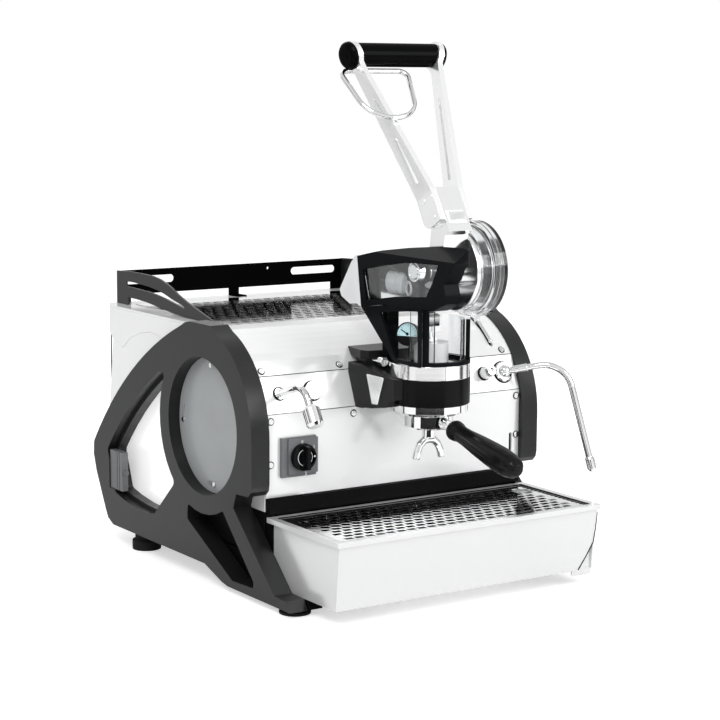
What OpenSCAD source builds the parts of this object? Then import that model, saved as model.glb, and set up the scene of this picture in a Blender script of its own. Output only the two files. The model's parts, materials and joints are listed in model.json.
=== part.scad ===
// Single-group lever espresso machine.
// Millimetres, +Z up, the front of the machine faces -Y.

/* [Frame] */
// Distance between the outer faces of the side frames
frame_w = 500; // [460:5:540]
// Thickness of each side frame
frame_t = 29; // [20:1:36]
// Radius of the round window in each side frame
window_r = 99; // [80:1:110]
// Diameter of each rubber foot
foot_d = 44; // [30:1:60]

/* [Body] */
// Height of the top cover above the tray rim
top_z = 249; // [220:1:280]
// Depth of the body behind the front panel
body_d = 472; // [400:5:520]
// Thickness of the sheet panels
sheet = 3; // [1.5:0.5:5]
// Width of the seams between panels
seam = 1.2; // [0.6:0.2:3]

/* [Drip tray] */
// Half width of the tray rim
tray_a = 225; // [200:1:240]
// Depth of the tray from its front edge
tray_d = 180; // [140:1:200]
// Height of the tray front
tray_h = 95; // [60:1:100]
// Slots across the drip grid
grid_cols = 23; // [8:1:24]
// Rows of slots in the drip grid
grid_rows = 10; // [4:1:12]

/* [Cup tray] */
// Slots across the cup tray
cup_cols = 20; // [8:1:24]
// Rows of slots in the cup tray
cup_rows = 14; // [4:1:16]
// Height of the cup rail above the top cover
rail_h = 50; // [30:1:70]

/* [Group] */
// Radius of the group's black band
group_r = 57; // [50:0.5:65]
// Distance of the group axis behind the tray's front edge
group_y = 112; // [90:1:130]
// Stroke of the piston
stroke = 24; // [10:1:30]
// Filter holder body radius
holder_r = 34.5; // [30:0.5:40]
// Downward tilt of the filter holder handle
handle_tilt = 13; // [0:1:20]

/* [Lever] */
// Lean of the lever behind the upright
lever_lean = 31; // [20:1:40]
// Radius of the clear drum on the right of the lever hub
drum_r = 67; // [50:1:80]
// Width of the grip between the arms
grip_w = 128; // [100:1:140]
// Radius of the grip
grip_r = 16.7; // [14:0.1:20]
// Diameter of the wire of the pull loop
loop_wire = 7; // [5:0.5:9]

/* [Valves] */
// Outside diameter of the steam wand
wand_d = 10; // [8:0.5:12]
// Size of the square switch plate
switch_w = 56; // [48:1:64]

/* [Hidden] */
fw = frame_w/2;
fi = fw - frame_t;
floor_z = 117;
mid_x = 26.13;
mid_y = 285.93;
wy = 318; wz = 109;
block_y = 571;
// face of the lower front panel, and height where the inclined panel starts
front_y = 188; knee_z = 141.6;
// fittings, placed from the inner faces of the frames
wand_x = fi - 24; steam_knob_x = fi - 59; mix_x = fi - 29.5; gap_x = fi - 15;
spout_x = -fi + 27; button_x = -fi + 81;
switch_x = -fi + 50; knob_x = switch_x + 3; switch_z = 80;
pane_x = -fw + 18;
ay = front_y + 143; az = 105; ar = 152; br = 150;
big = [139, -368];
pz = 340; py = 88;
shaft_boss_r = 11.5;
ring_z0 = 190; ring_z1 = 210;
band_z0 = 153; bell_z0 = 142; seat_z0 = 137;
body_y1 = front_y + body_d;
// opening of the cup tray, outer face of the cup rail's wings, rear edge of the side covers
cup_x = fi - 25; cup_y0 = 330; cup_y1 = body_y1 - 38;
wing_x = fi - 11;
cover_y0 = 372; cover_y1 = body_y1 - 19;
// body end that the outlines of the rail's wings and of the side covers are drawn for
drawn_y1 = 660;

function arc(c, r, a0, a1, n) = [for (i = [0:n]) c + r*[cos(a0 + (a1 - a0)*i/n), sin(a0 + (a1 - a0)*i/n)]];

module placed() translate([-mid_x, -mid_y, floor_z]) children();
// a (y, z) outline drawn out along X
module yz(x0, x1) translate([x0, 0, 0]) rotate([90, 0, 90]) linear_extrude(x1 - x0) children();
// an (x, z) outline drawn out along Y
module xz(y0, y1) translate([0, y1, 0]) rotate([90, 0, 0]) linear_extrude(y1 - y0) children();
module cyl_x(x0, x1, r, y, z, fn = 40) translate([x0, y, z]) rotate([0, 90, 0])
  cylinder(r = r, h = x1 - x0, $fn = fn);
module cyl_y(y0, y1, r, x, z, fn = 40) translate([x, y0, z]) rotate([-90, 0, 0])
  cylinder(r = r, h = y1 - y0, $fn = fn);
module box(a, b) translate(a) cube(b - a);
module rod(a, b, r, fn = 24) {
  d = b - a; l = norm(d);
  translate(a) rotate([0, acos(d[2]/l), atan2(d[1], d[0])]) cylinder(r = r, h = l, $fn = fn);
}
// a bent tube: straight runs joined by balls
module tube_path(p, r, fn = 20) {
  for (i = [0:len(p) - 2]) rod(p[i], p[i + 1], r, fn);
  for (i = [1:len(p) - 2]) translate(p[i]) sphere(r = r*1.03, $fn = fn + 4);
}
// a tube with one bend in its local XZ plane: it runs along +X, turns down, and runs on
module elbow_tube(l1, bend, turn, l2, r, l0 = 0) {
  g = 0.25*180/PI/bend;
  translate([l0, 0, 0]) rotate([0, 90, 0]) cylinder(r = r, h = l1 - l0 - 0.25, $fn = 28);
  translate([l1, 0, -bend]) rotate([90, 0, 0]) rotate([0, 0, 90 - turn + g])
    rotate_extrude(angle = turn - 2*g, $fn = 48) translate([bend, 0]) circle(r = r, $fn = 28);
  tube_end(l1, bend, turn) translate([0, 0, 0.25]) cylinder(r = r, h = l2 - 0.25, $fn = 28);
  translate([l1, 0, 0]) rotate([0, 90, 0]) sphere(r = r*1.03, $fn = 32);
  tube_end(l1, bend, turn) sphere(r = r*1.03, $fn = 32);
}
// frame at the far end of the bend, its +Z running on along the tube
module tube_end(l1, bend, turn) translate([l1 + bend*sin(turn), 0, -bend + bend*cos(turn)])
  rotate([0, 90 + turn, 0]) children();
module both() { children(); mirror([1, 0, 0]) children(); }

// ---- side frames -------------------------------------------------------
module frame_outline() polygon(concat(
  arc([ay, az], ar, 110, 180, 14),
  [[179, 46], [181, 37], [188, 30], [221, 28], [229, 7], [119, -94], [89, -95], [78, -109],
   [245, -109], [262, -106], [311, -90], [600, -90], [617, -82], [625, -70], [656, -14], [665, 12],
     [664, 29]],
  arc(big, 660, 37.5, 68.5, 12),
  [[366, 253], [352, 256], [292, 256]]));
module rear_opening(d = 0) offset(r = 8, $fn = 20) offset(delta = -8 - d) polygon(concat(
  arc(big, 620, 39.6, 63.2, 8),
  arc([wy, wz], 126, 37, -50, 10),
  [[463, -46], [484, -51], [520, -49], [560, -44], [592, -37]]));
module leg_slot() offset(r = 4, $fn = 16) offset(delta = -4) polygon(concat(
  arc([wy, wz], 127, -118, -71, 5),
  [[361, -22], [361, -34], [232, -98], [174, -96], [174, -87], [250, -12]]));
module frame_side() {
  difference() {
    yz(-fw, -fi) frame_outline();
    cyl_x(-fw - 1, -fw + 20, window_r, wy, wz, 72);
    cyl_x(-fw, -fi + 1, window_r - 6, wy, wz, 72);
    yz(-fw - 1, -fw + 14) rear_opening();
    yz(-fw, -fi + 1) rear_opening(6);
    yz(-fw - 1, -fi + 1) leg_slot();
    box([-fw - 1, block_y - 0.05, -33.05], [-fw + 12.05, block_y + 40.05, 27.05]);
  }
}
module frame_left() color("#303234") placed() frame_side();
module frame_right() color("#303234") placed() mirror([1, 0, 0]) frame_side();
module leg_side() yz(-fi + 3, -fi + 24) polygon(
  [[229, 0], [178, -16], [119, -94], [89, -95], [78, -109], [245, -109], [300, -93], [380, -93],
    [380, -63], [240, -63]]);
module leg_left() color("#2a2c2e") placed() leg_side();
module leg_right() color("#2a2c2e") placed() mirror([1, 0, 0]) leg_side();
module pane_side() {
  cyl_x(pane_x, -fw + 19.95, window_r - 0.4, wy, wz, 64);
  for (i = [0:3]) cyl_x(pane_x - 1.6, pane_x + 1, 3.5, wy + 86*cos(100 + 90*i), wz + 86*sin(100 + 90*i),
    16);
}
module window_left() color("#c9ccd0") placed() pane_side();
module window_right() color("#c9ccd0") placed() mirror([1, 0, 0]) pane_side();
module rear_block_side() {
  difference() {
    box([-fw + 2, block_y, -33], [-fw + 12, block_y + 40, 27]);
    for (y = [9, 16]) box([-fw, block_y + y, -41], [-fw + 4, block_y + y + 2, 40]);
  }
  cyl_y(block_y - 5, block_y + 1, 4, -fw + 7, -4, 20);
}
module rear_blocks() color("#4c4f52") placed() both() rear_block_side();
module foot(h) { cylinder(d = foot_d, h = h*0.55, $fn = 40); translate([0, 0, h*0.5])
  cylinder(d = foot_d*0.8, h = h*0.5, $fn = 32); }
module feet() color("#17181a") placed() both() {
  translate([-(fw - 24), 104, -floor_z]) foot(8);
  translate([-(fw - 24), 534, -floor_z]) foot(27);
}

// ---- body -------------------------------------------------------------
module body_outline() polygon(concat(
  [[front_y, -20], [front_y, knee_z]], arc([ay, az], br, 144.55, 106.26, 8),
    [[body_y1, top_z], [body_y1, -60], [front_y + 40, -60], [front_y + 40, -20]]));
module shell() difference() { body_outline(); offset(delta = -sheet) body_outline(); }
module panel(z0, z1, y1 = 400) yz(-fi, fi) intersection() { shell(); translate([150, z0])
  square([y1 - 150, z1 - z0]); }
// frame on the inclined middle panel, +Z straight out of it
function mid_panel_y(z) = front_y + (z - knee_z)*20.8/50.4;
module on_mid(x, z) translate([x, mid_panel_y(z), z]) rotate([67.58, 0, 0]) children();
module upper_cuts() {
  // slot for the mixing lever
  hull() for (z = [207.5, 239.5]) rod([mix_x, 180, z], [mix_x, z > 220 ? 330 : 260, z], 3.4);
}
module panel_lower() color("#d8dadc") placed() difference() {
  panel(24.5, knee_z - 0.6);
  hull() for (z = [46, 74]) cyl_y(150, 210, 2.6, gap_x, z, 20);
}
module panel_middle() color("#d8dadc") placed() difference() {
  panel(knee_z - 0.6 + seam, knee_z + 49.8);
  on_mid(button_x, 167.3) translate([0, 0, -20]) cylinder(r = 5.55, h = 30, $fn = 32);
  on_mid(steam_knob_x, 167.6) translate([0, 0, -20]) cylinder(r = 4.05, h = 30, $fn = 32);
  on_mid(wand_x, 167.3) translate([0, 0, -20]) cylinder(r = 12.02, h = 30, $fn = 40);
}
module panel_upper() color("#d8dadc") placed() difference() {
  panel(knee_z + 49.8 + seam, top_z + 1, 288.5); upper_cuts(); }
module top_cover() color("#d8dadc") placed() difference() {
  yz(-fi - 11, fi + 11) polygon([[289.5, top_z - sheet], [289.5, top_z], [body_y1 + 2, top_z],
    [body_y1 + 2, top_z - sheet]]);
  box([-fi - 20, 280, 200], [-fi, 384, 260]);
  box([fi, 280, 200], [fi + 20, 384, 260]);
  both() box([-fi - 20, cover_y1, 200], [-fi, body_y1 + 40, 260]);
  box([-cup_x, cup_y0, top_z - 9], [cup_x, cup_y1, top_z + 11]);
}
// outer plate in two heights: the upper one ends in a V point and an arch
function along_cover(y) = cover_y0 + (y - cover_y0)*(cover_y1 - cover_y0)/(drawn_y1 - 19 - cover_y0);
module side_cover_shape() polygon([[cover_y0, top_z - sheet], [cover_y0, 160], [along_cover(560), 100],
  [cover_y1 - 1, 40], [cover_y1 + 5, 90], [cover_y1 - 9, 197], [cover_y1, 203], [cover_y1, top_z - sheet]]);
module side_cover_upper() polygon(concat(
  [[cover_y0, top_z - sheet], [cover_y0, 176]],
  [for (p = [[430, 192], [455, 209], [481, 219], [507, 221.5], [539, 216.5], [572, 205], [598, 186]])
    [along_cover(p[0]), p[1]]],
  [[cover_y1, 206.5], [cover_y1, top_z - sheet]]));
module side_cover_edge() polygon(concat(arc(big, 664, 30, 75, 10), [[300, 200], [300, 0], [600, 0]]));
module side_cover() {
  yz(-fi - 9.6, -fi) difference() { side_cover_shape(); side_cover_edge(); }
  yz(-fi - 11, -fi - 9.5) difference() { side_cover_upper(); side_cover_edge(); }
  yz(-fi, -fi + 2) polygon([[front_y + 4, -58], [front_y + 4, 135], [222, 190], [270, 232],
    [body_y1 - 4, 244], [body_y1 - 4, -58]]);
}
module side_cover_left() color("#d8dadc") placed() side_cover();
module side_cover_right() color("#d8dadc") placed() mirror([1, 0, 0]) side_cover();
module rear_panel() color("#3a3c3e") placed() difference() {
  box([-fi + 0.3, body_y1 - sheet, -60], [fi - 0.3, body_y1, top_z - sheet - 0.2]);
  for (i = [0:9], s = [-1, 1]) box([s*120 - 60, body_y1 - 10, 60 + 12*i],
    [s*120 + 60, body_y1 + 5, 65 + 12*i]);
  cyl_y(body_y1 - 10, body_y1 + 5, 9, -150, -20, 24);
}
module base_pan() color("#26282a") placed() {
  difference() {
    box([-fi + 2.3, front_y + 4, -60], [fi - 2.3, body_y1 - sheet, -57]);
    both() box([-fi, 190, -61], [-fi + 24.3, 242, -56]);
  }
  box([-fi + 24.1, 228, -93], [fi - 24.1, 260, -59.9]);
  box([-fi + 2.3, 560, -88], [fi - 2.3, 600, -60]);
  // runners that carry the drip tray
  for (x = [-150, 150]) box([x - 10, 30, -88], [x + 10, 240, basin_z - 0.15]);
}
module ledge() color("#1d1f21") placed() {
  box([-fi + 2.3, front_y - 5, 2], [fi - 2.3, front_y + 3, 23.5]);
  box([-fi + 2.3, front_y + 2.9, 2], [fi - 2.3, front_y + 15, 23.5]);
  box([-fi + 24.3, front_y + 4, -57], [fi - 24.3, front_y + 15, 2.1]);
  box([-fi + 2.3, front_y - 7.2, 2], [-fi + 56, front_y - 4.9, 26]);
}
module screw_at(x, a) translate([x, ay, az]) rotate([a - 90, 0, 0]) translate([0, 0, br + 0.02])
  cylinder(r = 4.4, h = 2, $fn = 20);
module panel_screws() color("#9fa2a5") placed() {
  for (x = [-fi + 7, -85, gap_x]) screw_at(x, 141.4);
  for (e = [[-fi + 7, 132], [-77, 132], [fi - 6, 132], [-fi + 7, 71], [fi - 5, 73]])
    cyl_y(front_y - 2, front_y - 0.02, 4.4, e[0], e[1], 20);
}
boiler_y = body_y1 - 140;
module steam_boiler() color("#b87a4a") placed() {
  cyl_x(-fi + 41, fi - 101, 78, boiler_y, 90, 48);
  for (x = [-fi + 91, fi - 151]) box([x - 12, boiler_y - 50, -57], [x + 12, boiler_y + 50, 16]);
  cyl_x(-fi + 29, -fi + 42, 40, boiler_y, 90, 32);
}
motor_x = -fi + 101;
motor_y1 = boiler_y - 80;
module motor_pump() color("#5b5e61") placed() {
  cyl_y(motor_y1 - 110, motor_y1, 46, motor_x, -8, 36);
  cyl_y(motor_y1 - 150, motor_y1 - 109, 30, motor_x, -8, 32);
  box([motor_x - 40, motor_y1 - 95, -57], [motor_x + 40, motor_y1 - 10, -44]);
}
module control_box() color("#6a6d70") placed()
  box([fi - 161, motor_y1 - 140, -57], [fi - 41, motor_y1 - 20, 40]);

// ---- cup tray and rail ---------------------------------------------------
module slots(cols, rows, dx, dy, x0, y0) for (j = [0:rows - 1], i = [0:cols - 1])
  translate([x0 + i*dx + (j % 2)*dx/2, y0 + j*dy, 0]) children();
module cup_tray() color("#a7a9ac") placed() difference() {
  union() {
    box([-cup_x + 0.4, cup_y0 + 0.4, top_z - 2.5], [cup_x - 0.4, cup_y1 - 0.4, top_z + 0.5]);
    for (y = [cup_y0 + 6, cup_y1 - 10]) box([-cup_x + 8, y, top_z - 14], [cup_x - 8, y + 3, top_z]);
  }
  dx = (2*cup_x - 24)/cup_cols;
  slots(cup_cols, cup_rows, dx, (cup_y1 - cup_y0 - 42)/cup_rows, -cup_x + 16, cup_y0 + 20)
    box([-2, -4, top_z - 9], [dx*0.58, 4.5, top_z + 11]);
}
module rail_slot(x0, x1, z0, z1) { r = (z1 - z0)/2; hull() for (x = [x0 + r, x1 - r])
  cyl_y(body_y1 - 20, body_y1 + 10, r, x, z0 + r, 20); }
module rail_wing() yz(-wing_x, -wing_x + 3) translate([body_y1 - drawn_y1, top_z]) difference() {
  polygon([[657.5, 0.3], [657.5, rail_h + 0.5], [613, rail_h + 2.8], [575, rail_h + 3.2],
    [539, rail_h + 2.6], [515, rail_h], [494.5, rail_h - 5], [478, rail_h - 10.5],
    [460, rail_h - 17.5], [437, rail_h - 25], [413, rail_h - 31.5], [384, rail_h - 38.5],
      [353, rail_h - 46.5], [343, 0.3],
    [440, 0.3], [475, 2.6], [509, 5.2], [537, 8.6], [564, 10.8], [592, 11.8], [621, 12], [621, 0.3]]);
  offset(r = 1.5, $fn = 12) offset(delta = -1.5)
    polygon([[627, 35], [623, 36.6], [600, 37], [580, 36.2], [552, 35.2], [525, 32.8], [502, 28.8],
    [481, 23.8], [441, 16.6], [437, 14.8],
    [439.4, 13.2], [481, 19.4], [502, 22.8], [525, 25.4], [552, 27.2], [575, 27.8], [600, 28.4],
      [622, 28.6], [626, 30.6]]);
}
module cup_rail() color("#1c1e20") placed() {
  difference() {
    box([-wing_x, body_y1 - 5, top_z + 12], [wing_x, body_y1 - 2, top_z + rail_h]);
    rail_slot(-wing_x + 15, -wing_x + 100, top_z + 27.5, top_z + 40);
    rail_slot(wing_x - 102, wing_x - 15, top_z + 27.5, top_z + 40);
    cyl_y(body_y1 - 20, body_y1 + 10, 2.4, 64, top_z + 41, 16);
  }
  for (x = [-wing_x, wing_x - 23]) box([x, body_y1 - 5, top_z + 0.1], [x + 23, body_y1 - 2, top_z + 17]);
  box([-9, body_y1 - 5, top_z + 0.1], [9, body_y1 - 2, top_z + 17]);
  box([-9, body_y1 - 30, top_z + 0.1], [9, body_y1 - 4.5, top_z + 2]);
  rail_wing();
  mirror([1, 0, 0]) rail_wing();
}

// ---- drip tray ------------------------------------------------------------
tx = fi - 28.5;
basin_z = -tray_h + 16;
module drip_tray() color("#d2d4d6") placed() {
  // front panel, leaning back slightly, with a cut lower corner
  difference() {
    hull() { box([-tray_a + 4, 3, -8], [tray_a - 4, 6, -7]);
      box([-tray_a + 4, 10, -tray_h], [tray_a - 4, 13, -tray_h + 1]); }
    xz(-5, 20) polygon([[tray_a - 4, -11], [tray_a - 7.5, -55], [tray_a - 33, -tray_h - 1],
      [tray_a + 20, -tray_h - 1], [tray_a + 20, -11]]);
  }
  // side walls, and the plate with its screw behind the cut corner
  both() yz(-tray_a + 4.35, -tray_a + 6.6) polygon([[4.6, -6.5], [6.8, -30], [11.2, -tray_h],
    [168, -tray_h], [168, -6.5]]);
  xz(13.5, 15.5) offset(r = 4, $fn = 16) offset(delta = -4)
    polygon([[tray_a - 40, -tray_h - 9], [tray_a - 5, -tray_h - 9], [tray_a - 5, -40], [tray_a - 40, -40]]);
  cyl_y(12.6, 14, 2.2, tray_a - 12, -92, 16);
  // rim lip
  difference() {
    box([-tray_a, 0, -7], [tray_a, tray_d, 0]);
    box([-tray_a + 10, 10, -5], [tray_a - 10, tray_d - 8, 1]);
    box([-tray_a + 34, 24, -10], [tray_a - 34, tray_d - 20, 1]);
  }
  // basin
  difference() {
    box([-tx, 12, basin_z], [tx, tray_d - 6, -6.9]);
    box([-tx + 3, 16, basin_z + 4], [tx - 3, tray_d - 10, 0]);
  }
}
module drip_grid() color("#c4c6c8") placed() difference() {
  union() {
    box([-tray_a + 13, 13, -4.6], [tray_a - 13, tray_d - 11, -2.4]);
    for (x = [-150, 0, 150]) box([x - 2, 26, -14], [x + 2, tray_d - 22, -4]);
  }
  dx = (2*tray_a - 60)/grid_cols;
  slots(grid_cols, grid_rows, dx, (tray_d - 40)/grid_rows, -tray_a + 29, 26)
    box([0, -3.4, -20], [dx*0.6, 3.4, 5]);
  box([tray_a - 55, tray_d - 52, -20], [tray_a - 19, tray_d - 30, 5]);
}

// ---- switch, water and steam fittings ---------------------------------------
module switch_plate() color("#9a9ca0") placed() {
  difference() {
    box([switch_x - switch_w/2, front_y - 6, switch_z - switch_w/2],
      [switch_x + switch_w/2, front_y - 0.1, switch_z + switch_w/2]);
    cyl_y(front_y - 18, front_y - 1, 4.05, knob_x, switch_z, 24);
  }
  difference() {
    box([switch_x - switch_w/2 + 9, front_y - 9, switch_z - switch_w/2 + 4],
      [switch_x + switch_w/2 + 1, front_y - 5.8, switch_z + switch_w/2 - 2]);
    cyl_y(front_y - 18, front_y + 2, 4.05, knob_x, switch_z, 24);
  }
}
module switch_knob() color("#17181a") placed() {
  cyl_y(front_y - 17, front_y - 9.4, 19, knob_x, switch_z, 40);
  cyl_y(front_y - 10, front_y - 2, 4, knob_x, switch_z, 24);
  hull() {
    box([knob_x - 3, front_y - 28, switch_z - 16], [knob_x + 3, front_y - 16, switch_z + 16]);
    box([knob_x - 4, front_y - 17, switch_z - 18], [knob_x + 4, front_y - 16, switch_z + 18]);
  }
}
module water_spout() color("#cfd2d5") placed() {
  on_mid(spout_x, 167.7) translate([0, 0, 0.05]) cylinder(r = 8, h = 3, $fn = 40);
  spout_plane() elbow_tube(47, 26, 76, 9, 5.2, 2);
}
module spout_plane() translate([spout_x, mid_panel_y(167.7), 167.7]) rotate([0, 0, -90])
  rotate([0, -17, 0]) children();
module spout_tip() spout_plane() tube_end(47, 26, 76) translate([0, 0, 9.2]) children();
module water_nozzle() color("#cfd2d5") placed() spout_tip() {
  cylinder(r1 = 7.5, r2 = 12.2, h = 5, $fn = 40);
  translate([0, 0, 4.9]) cylinder(r = 12.2, h = 21, $fn = 40);
  translate([0, 0, 25.8]) cylinder(r1 = 12.2, r2 = 9.5, h = 4.2, $fn = 40);
}
module water_button() color("#c3c6c9") placed() on_mid(button_x, 167.3) {
  difference() { translate([0, 0, 2.3]) cylinder(r = 13.2, h = 3.2, $fn = 48); translate([0, 0, 4.5])
    cylinder(r = 2.2, h = 3, $fn = 20); }
  translate([0, 0, -14]) cylinder(r = 5.5, h = 17, $fn = 32);
}
module steam_knob() color("#cfd2d5") placed() on_mid(steam_knob_x, 167.6) difference() {
  union() {
    translate([0, 0, 0.4]) cylinder(r = 9, h = 15.6, $fn = 40);
    translate([0, 0, 15.9]) cylinder(r1 = 9, r2 = 7, h = 5.6, $fn = 40);
    for (i = [0:11]) rotate([0, 0, 30*i]) translate([8.8, 0, 3]) cylinder(r = 0.9, h = 11, $fn = 8);
    translate([0, 0, -12]) cylinder(r = 4, h = 14, $fn = 32);
  }
  translate([0, 0, 17.5]) cylinder(r = 5, h = 5, $fn = 32);
}
module steam_flange() color("#cfd2d5") placed() on_mid(wand_x, 167.3) difference() {
  union() {
    translate([0, 0, 0.06]) cylinder(r = 15.3, h = 2.94, $fn = 56);
    translate([0, 0, 2.9]) cylinder(r1 = 15.3, r2 = 13.2, h = 2.6, $fn = 56);
    translate([0, 0, -8]) cylinder(r = 12, h = 9, $fn = 48);
  }
  translate([0, 0, -5.3]) cylinder(r = 10.2, h = 12, $fn = 48);
}
// the wand lies in one upright plane through the ball at the flange
wand_turn = -42.6; wand_rise = 11.5; run_l = 53; bend_r = 42; wand_bend = 86.5; drop_l = 108;
module wand_plane() translate([wand_x, mid_panel_y(167.3) - 5*0.9244, 167.3 + 5*0.3814])
  rotate([0, 0, wand_turn]) rotate([0, -wand_rise, 0]) children();
module steam_wand() color("#cfd2d5") placed() wand_plane() {
  sphere(r = 9.9, $fn = 40);
  elbow_tube(run_l, bend_r, wand_bend, drop_l, wand_d/2, 8);
  tube_end(run_l, bend_r, wand_bend) translate([0, 0, drop_l - 0.2]) {
    cylinder(r1 = wand_d/2, r2 = 7, h = 4, $fn = 32);
    translate([0, 0, 3.9]) cylinder(r = 7, h = 15, $fn = 32);
    translate([0, 0, 18.8]) cylinder(r1 = 7, r2 = 5.6, h = 3.2, $fn = 32);
    translate([0, 0, 21.9]) cylinder(r1 = 5.6, r2 = 3, h = 2.6, $fn = 32);
  }
}
module wand_sleeve() color("#b9bcc0") placed() wand_plane() rotate([0, 90, 0]) difference() {
  translate([0, 0, 12]) cylinder(r = 6.2, h = 23, $fn = 32);
  translate([0, 0, 5]) cylinder(r = wand_d/2, h = 50, $fn = 28);
}
module slot_plate() color("#17181a") placed() {
  box([gap_x - 5, front_y + 3.02, 40], [gap_x + 5, front_y + 4.5, 80]);
  intersection() {
    yz(-fi, fi) difference() { offset(delta = -sheet - 0.1) body_outline(); offset(delta = -sheet - 1.6)
      body_outline(); }
    hull() for (z = [207.5, 239.5]) rod([mix_x, 180, z], [mix_x, z > 220 ? 330 : 260, z], 5);
  }
}
// the mixing lever turns about the centre line of the curved panel
module mixing_lever() color("#cfd2d5") placed() {
  a = 118.5;
  translate([mix_x, ay, az]) rotate([a - 90, 0, 0]) {
    translate([0, 0, br - 2.6]) cylinder(r = 3, h = 7, $fn = 24);
    translate([0, 0, br + 4]) cylinder(r = 4.4, h = 12, $fn = 28);
    translate([0, 0, br + 15.9]) cylinder(r1 = 4.4, r2 = 3.4, h = 1.2, $fn = 28);
  }
  tip = [mix_x - 1.5, ay + (br + 4.5)*cos(136), az + (br + 4.5)*sin(136)];
  rod([mix_x, ay + (br + 6)*cos(a), az + (br + 6)*sin(a)], tip, 2.2, 20);
  translate(tip) sphere(r = 3.2, $fn = 24);
}

// ---- group -----------------------------------------------------------------
module yoke_plan(g = 0) difference() {
  polygon([[-74 - g, 207], [-74 - g, 176], [-66 - g, 104], [-44, 92], [44, 92], [66 + g, 104],
    [74 + g, 176], [74 + g, 207]]);
  translate([0, group_y]) circle(r = group_r + 0.02, $fn = 72);
}
module group_yoke() color("#17181a") placed() difference() {
  union() {
    difference() {
      translate([0, 0, 141]) linear_extrude(62) yoke_plan();
      // underside rises toward the cylinder, upper side falls
      yz(-100, 100) polygon([[60, 130], [60, 166], [108, 160], [118, 149], [150, 143.5], [172, 142],
        [172, 130]]);
      yz(-100, 100) polygon([[60, 215], [60, 189], [120, 190], [176, 204], [176, 215]]);
    }
    translate([0, 0, 202]) linear_extrude(7) polygon([[-52, 232], [-57, 186], [-52, 176], [-30, 171],
      [30, 171], [52, 176], [57, 186], [52, 232]]);
    translate([0, 0, 208.9]) linear_extrude(12.3)
      polygon([[-58, 232], [-66, 188], [-60, 176], [-30, 171], [30, 171], [60, 176], [66, 188], [58, 232]]);
  }
  // follows the front panel
  yz(-100, 100) polygon([[front_y - 0.1, 100], [front_y - 0.1, knee_z], [front_y + 20.6, knee_z + 50.4],
    [218, 206], [229, 217], [260, 240], [260, 100]]);
}
module yoke_trim() color("#d8dadc") placed() both()
  // plates on the yoke's slanted side faces
  translate([-74, 176, 0]) rotate([90, 0, -atan2(72, 8)]) translate([0, 0, 0.05]) linear_extrude(1.75)
    offset(r = 1.5, $fn = 12) polygon([[17, 190], [50, 188.6], [38, 152], [28.5, 151.8]]);
module group_bell() color("#cfd2d5") placed() translate([0, group_y, 0]) difference() {
  union() {
    translate([0, 0, bell_z0]) cylinder(r = 55, h = band_z0 - bell_z0, $fn = 72);
    translate([0, 0, seat_z0]) cylinder(r1 = 43, r2 = 46, h = bell_z0 - seat_z0 + 0.01, $fn = 64);
  }
  translate([0, 0, seat_z0 - 1]) cylinder(r = 36.5, h = 7, $fn = 64);
  translate([0, 0, seat_z0]) cylinder(r = 26, h = 40, $fn = 48);
}
module group_band() color("#202224") placed() translate([0, group_y, 0]) difference() {
  translate([0, 0, band_z0]) cylinder(r = group_r, h = ring_z0 - band_z0, $fn = 72);
  translate([0, 0, band_z0 - 1]) cylinder(r = 26, h = 60, $fn = 48);
}
module group_ring() color("#cfd2d5") placed() translate([0, group_y, 0]) difference() {
  translate([0, 0, ring_z0]) cylinder(r = group_r, h = ring_z1 - ring_z0, $fn = 72);
  translate([0, 0, ring_z0 - 1]) cylinder(r = 26, h = 60, $fn = 48);
}
// sleeve that closes the cylinder; the piston rod runs through it
module group_sleeve() color("#e4e5e6") placed() translate([0, group_y, 0]) difference() {
  translate([0, 0, 210]) cylinder(r = 26, h = 28, $fn = 56);
  translate([0, 0, 205]) cylinder(r = 8.06, h = 40, $fn = 32);
}
// union on the feed pipe beside the ring
module pipe_nut() color("#cfd2d5") placed() {
  cyl_y(149.2, 160, 7, -51, 207.8, 6);
  cyl_y(159.9, 173.7, 3.6, -51, 207.8, 24);
}
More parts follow.
